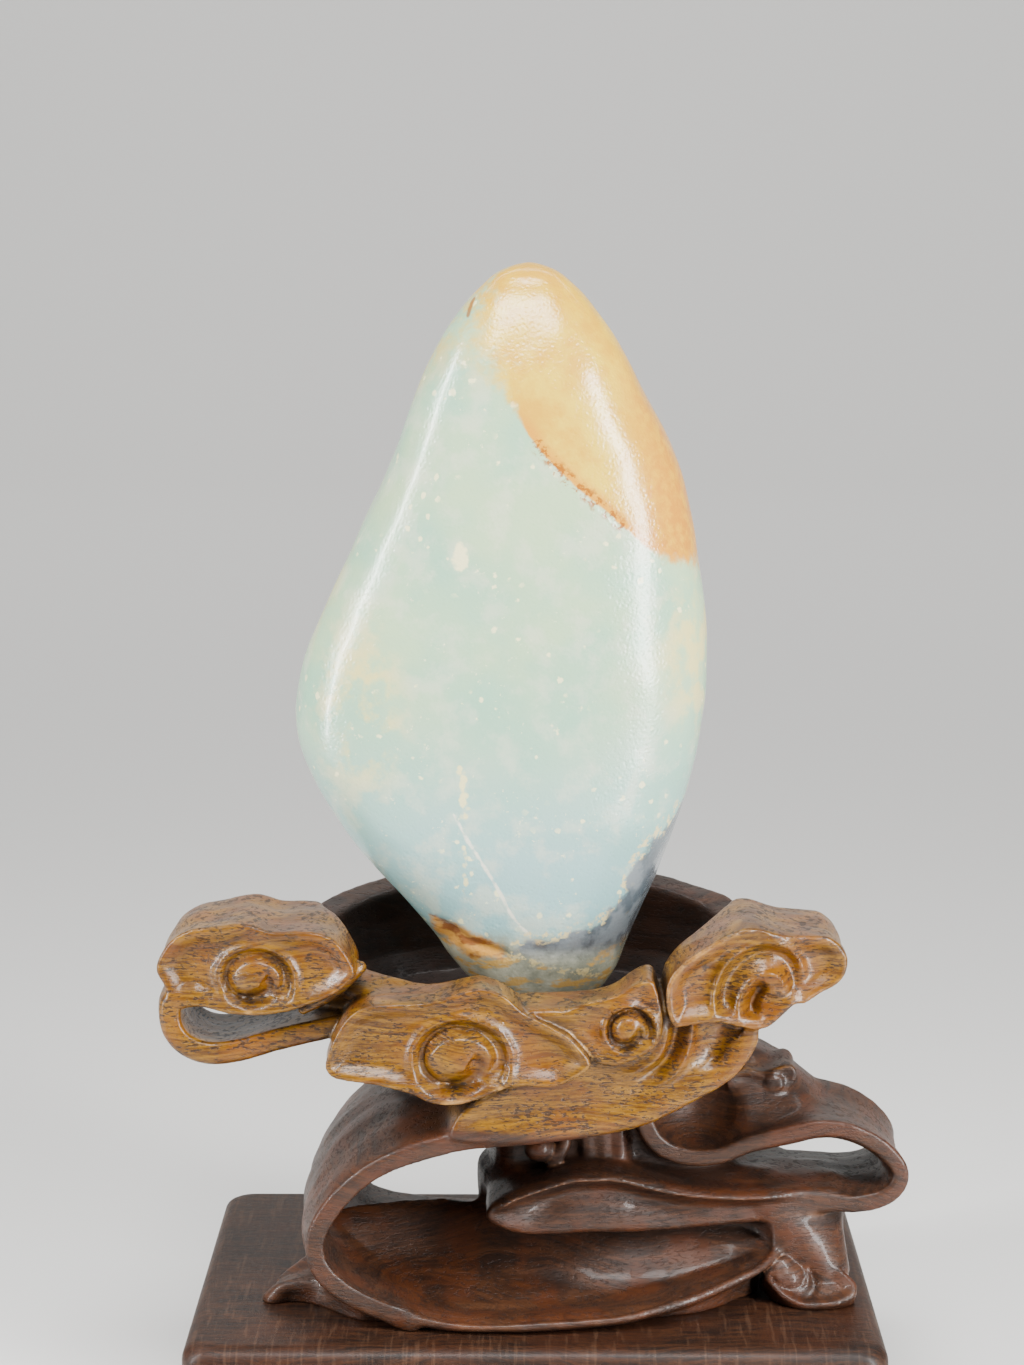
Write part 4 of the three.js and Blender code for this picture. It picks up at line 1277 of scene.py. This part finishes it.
def grown(wood, p, along, across):
    """Growth layers, their dark lines, fibres and pores, for layers that stack along one direction."""
    bend = wood.noise(p, 1.0, 2, 0.5, stretch=(0.03, 0.045, 0.05))
    lift = (bend - 0.5) * 14
    place = wood.vector("ADD", p, wood.joined(0.0, lift * across[0], lift * across[1]))
    broad = (2.4 * along, 1.3 * across[0] + 0.08, 1.3 * across[1] + 0.08)
    layers = wood.noise(place, 1.0, 3, 0.65, stretch=broad)
    thin_lines = (3.0 * along, 3.0 * across[0] + 0.12, 3.0 * across[1] + 0.12)
    lines = wood.smooth(wood.noise(place, 1.0, 2, 0.5, stretch=thin_lines), 0.54, 0.66)
    fibres = wood.noise(p, 1.0, 3, 0.65, stretch=(1.1, 2.4 * across[0] + 1.6, 2.4 * across[1] + 1.6))
    dashes = (1.1, 3.0 * across[0] + 0.9, 3.0 * across[1] + 0.9)
    clusters = wood.smooth(wood.noise(p, 4.0, 2), 0.38, 0.62)
    pores = wood.smooth(wood.noise(p, 1.0, 2, 0.55, stretch=dashes) + clusters * 0.1, 0.6, 0.68)
    return layers, lines, fibres, pores


def carved_finish():
    wood = Finish("cloud wood", {"IOR": 1.5, "Specular IOR Level": 0.34, "Coat Roughness": 0.12})
    p = wood.place()
    layers, lines, fibres, pores = grown(wood, p, 0.045, (0.0, 1.0))
    mottle = wood.noise(p, 7, 3)
    fine = wood.noise(p, 0.7, 2)
    tone = wood.smooth(layers + (fibres - 0.5) * 0.5, 0.3, 0.7)
    # Painted light: the lit gold copy of the wood, laid on the top.
    gold = wood.layered(
        wood.mix(tone, shade(72, 42, 7), shade(122, 84, 14)),
        (wood.smooth(mottle, 0.42, 0.66) * 0.5, shade(108, 56, 4)),
        (lines * 0.6, shade(64, 38, 14)),
        (pores * 0.85, shade(34, 20, 10)),
    )
    # Painted shade: the shaded brown copy of the same wood, laid lower down and at the back.
    painted_shade_brown = wood.layered(
        wood.mix(tone, shade(34, 19, 11), shade(66, 38, 20)),
        (wood.smooth(mottle, 0.45, 0.62) * 0.5, shade(76, 36, 12)),
        (lines * 0.4, shade(28, 16, 10)),
        (pores * 0.35, shade(22, 13, 9)),
    )
    # How much of the painted light, the lit gold copy, each place gets.
    golden = wood.smooth(wood.kept("gold") + (mottle - 0.5) * 0.3, 0.2, 0.8)
    # Painted shade in the hollows, partly wax patina too.
    recess = wood.smooth(wood.kept("recess"), 0.16, 0.75)
    # Edges: partly rubbed wear, partly a painted highlight.
    worn = wood.smooth(wood.kept("worn") + (fine - 0.5) * 0.2, 0.3, 0.75)
    colour = wood.layered(
        # The lit gold copy over the shaded brown copy: painted light and shade.
        wood.mix(golden, painted_shade_brown, gold),
        # Painted shade in the hollows, partly wax patina.
        (recess * 0.7, shade(30, 18, 11)),
        # A painted highlight on the edges, partly rubbed wear.
        (worn * 0.5, wood.mix(golden, shade(124, 84, 56), shade(206, 158, 92))),
        # The cup's inside darkened: partly stain, partly painted shade.
        (wood.kept("cup") * 0.8, shade(24, 14, 9)),
    )
    rough = 0.44 - golden * 0.17 + fine * 0.1 + pores * 0.12 + recess * 0.1
    gloss = 0.12 - recess * 0.1
    normal = wood.bump(fibres * 0.5 + fine * 0.3 + layers * 0.2 - pores * 0.6 - lines * 0.2, 0.7, 0.09)
    return wood.feed(Base_Color=colour, Roughness=rough, Coat_Weight=gloss, Normal=normal)


def plinth_finish():
    wood = Finish("plinth wood", {"IOR": 1.5, "Specular IOR Level": 0.25, "Coat Roughness": 0.25})
    p = wood.place()
    layers, lines, fibres, pores = grown(wood, p, 0.04, (0.8, 0.8))
    mottle = wood.noise(p, 12, 3)
    fine = wood.noise(p, 0.8, 2)
    ray = wood.noise(p, 1.0, 2, 0.5, stretch=(1.6, 0.12, 0.12))
    tone = wood.smooth(layers + (fibres - 0.5) * 0.4, 0.32, 0.68)
    colour = wood.layered(
        wood.mix(tone, shade(24, 13, 8), shade(56, 32, 17)),
        (wood.smooth(mottle, 0.4, 0.66) * 0.6, shade(52, 25, 10)),
        (lines * 0.5, shade(18, 11, 8)),
        (pores * 0.4, shade(16, 10, 7)),
        (wood.smooth(ray, 0.52, 0.7) * 0.07, shade(150, 112, 84)),
    )
    rough = 0.4 + fine * 0.12 + ray * 0.1
    gloss = ray * 0.16
    normal = wood.bump(fine * 0.3 + fibres * 0.3 + layers * 0.2 - pores * 0.5 + ray * 0.3, 0.5, 0.06)
    return wood.feed(Base_Color=colour, Roughness=rough, Coat_Weight=gloss, Normal=normal)


# Stage: the floor's sizes are in metres, the lights' in millimetres and watts

FLOOR_HALF = 3.0
FLOOR_BACK = 1.4
FLOOR_BEND = 0.8
WALL_TOP = 3.2
FLOOR_PALE = (0.7, 0.69, 0.67, 1)
SKY_PALE = (0.85, 0.87, 0.9, 1)
SKY_STRENGTH = 0.15
PART_MIDDLE = (0, 0, 90)
LIGHTS = [
    ("key", (0, -245, 505), (230, 140), 2.9, PART_MIDDLE),
    ("right strip", (246, -232, 172), (62, 330), 3.4, PART_MIDDLE),
    ("left strip", (-260, -115, 180), (10, 320), 1.8, PART_MIDDLE),
    ("backdrop", (0, 700, 1700), (2400, 800), 46, (0, 1900, 700)),
]


def make_camera():
    data = bpy.data.cameras.new("camera")
    camera = bpy.data.objects.new("camera", data)
    bpy.context.collection.objects.link(camera)
    data.sensor_fit = "VERTICAL"
    data.sensor_height = SENSOR
    data.lens = FOCAL_PIXELS / IMAGE_HEIGHT * SENSOR
    camera.location = [v * MM for v in CAMERA_PLACE]
    camera.rotation_euler = (math.radians(90 - CAMERA_DOWN), 0, math.radians(CAMERA_LEFT))
    bpy.context.scene.camera = camera


def area_light(name, place, size, energy, aim):
    data = bpy.data.lights.new(name, "AREA")
    data.shape = "RECTANGLE"
    data.size = size[0] * MM
    data.size_y = size[1] * MM
    data.energy = energy
    lamp = bpy.data.objects.new(name, data)
    lamp.location = [v * MM for v in place]
    lamp.rotation_euler = (Vector(aim) - Vector(place)).to_track_quat("-Z", "Y").to_euler()
    bpy.context.collection.objects.link(lamp)


def make_stage():
    """A pale floor that curves up far behind, and soft light."""
    turns = np.linspace(0, math.pi / 2, 17)
    curve = [(FLOOR_BACK + FLOOR_BEND * math.sin(a), FLOOR_BEND - FLOOR_BEND * math.cos(a)) for a in turns]
    line = [(-FLOOR_HALF, 0), *curve, (FLOOR_BACK + FLOOR_BEND, WALL_TOP)]
    points = [(side * FLOOR_HALF, y, z) for y, z in line for side in (-1, 1)]
    faces = [(2 * k, 2 * k + 1, 2 * k + 3, 2 * k + 2) for k in range(len(line) - 1)]
    mesh = bpy.data.meshes.new("floor")
    mesh.from_pydata(points, [], faces)
    mesh.polygons.foreach_set("use_smooth", [True] * len(faces))
    floor = bpy.data.objects.new("floor", mesh)
    bpy.context.collection.objects.link(floor)
    pale = Finish("pale floor", {"Base Color": FLOOR_PALE, "Roughness": 0.8})
    mesh.materials.append(pale.material)
    world = bpy.data.worlds.new("studio")
    bpy.context.scene.world = world
    world.use_nodes = True
    sky = world.node_tree.nodes["Background"]
    sky.inputs["Color"].default_value = SKY_PALE
    sky.inputs["Strength"].default_value = SKY_STRENGTH
    for light in LIGHTS:
        area_light(*light)


make_camera()
stone = make_pebble()
wood = carve_stand()
stand = thin(to_mesh("carved_stand", *wood.surface()), MOST_TRIANGLES)
paint_stand(stand, wood)
plinth = make_plinth(plinth_finish())
stone.data.materials.append(jade_finish())
stand.data.materials.append(carved_finish())
for piece, node, slot in (
    (stone, "jade_pebble", "jade"),
    (stand, "cloud_stand", "cloud_wood"),
    (plinth, "plinth", "plinth_wood"),
):
    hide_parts(node)
    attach(piece, "root")
make_stage()
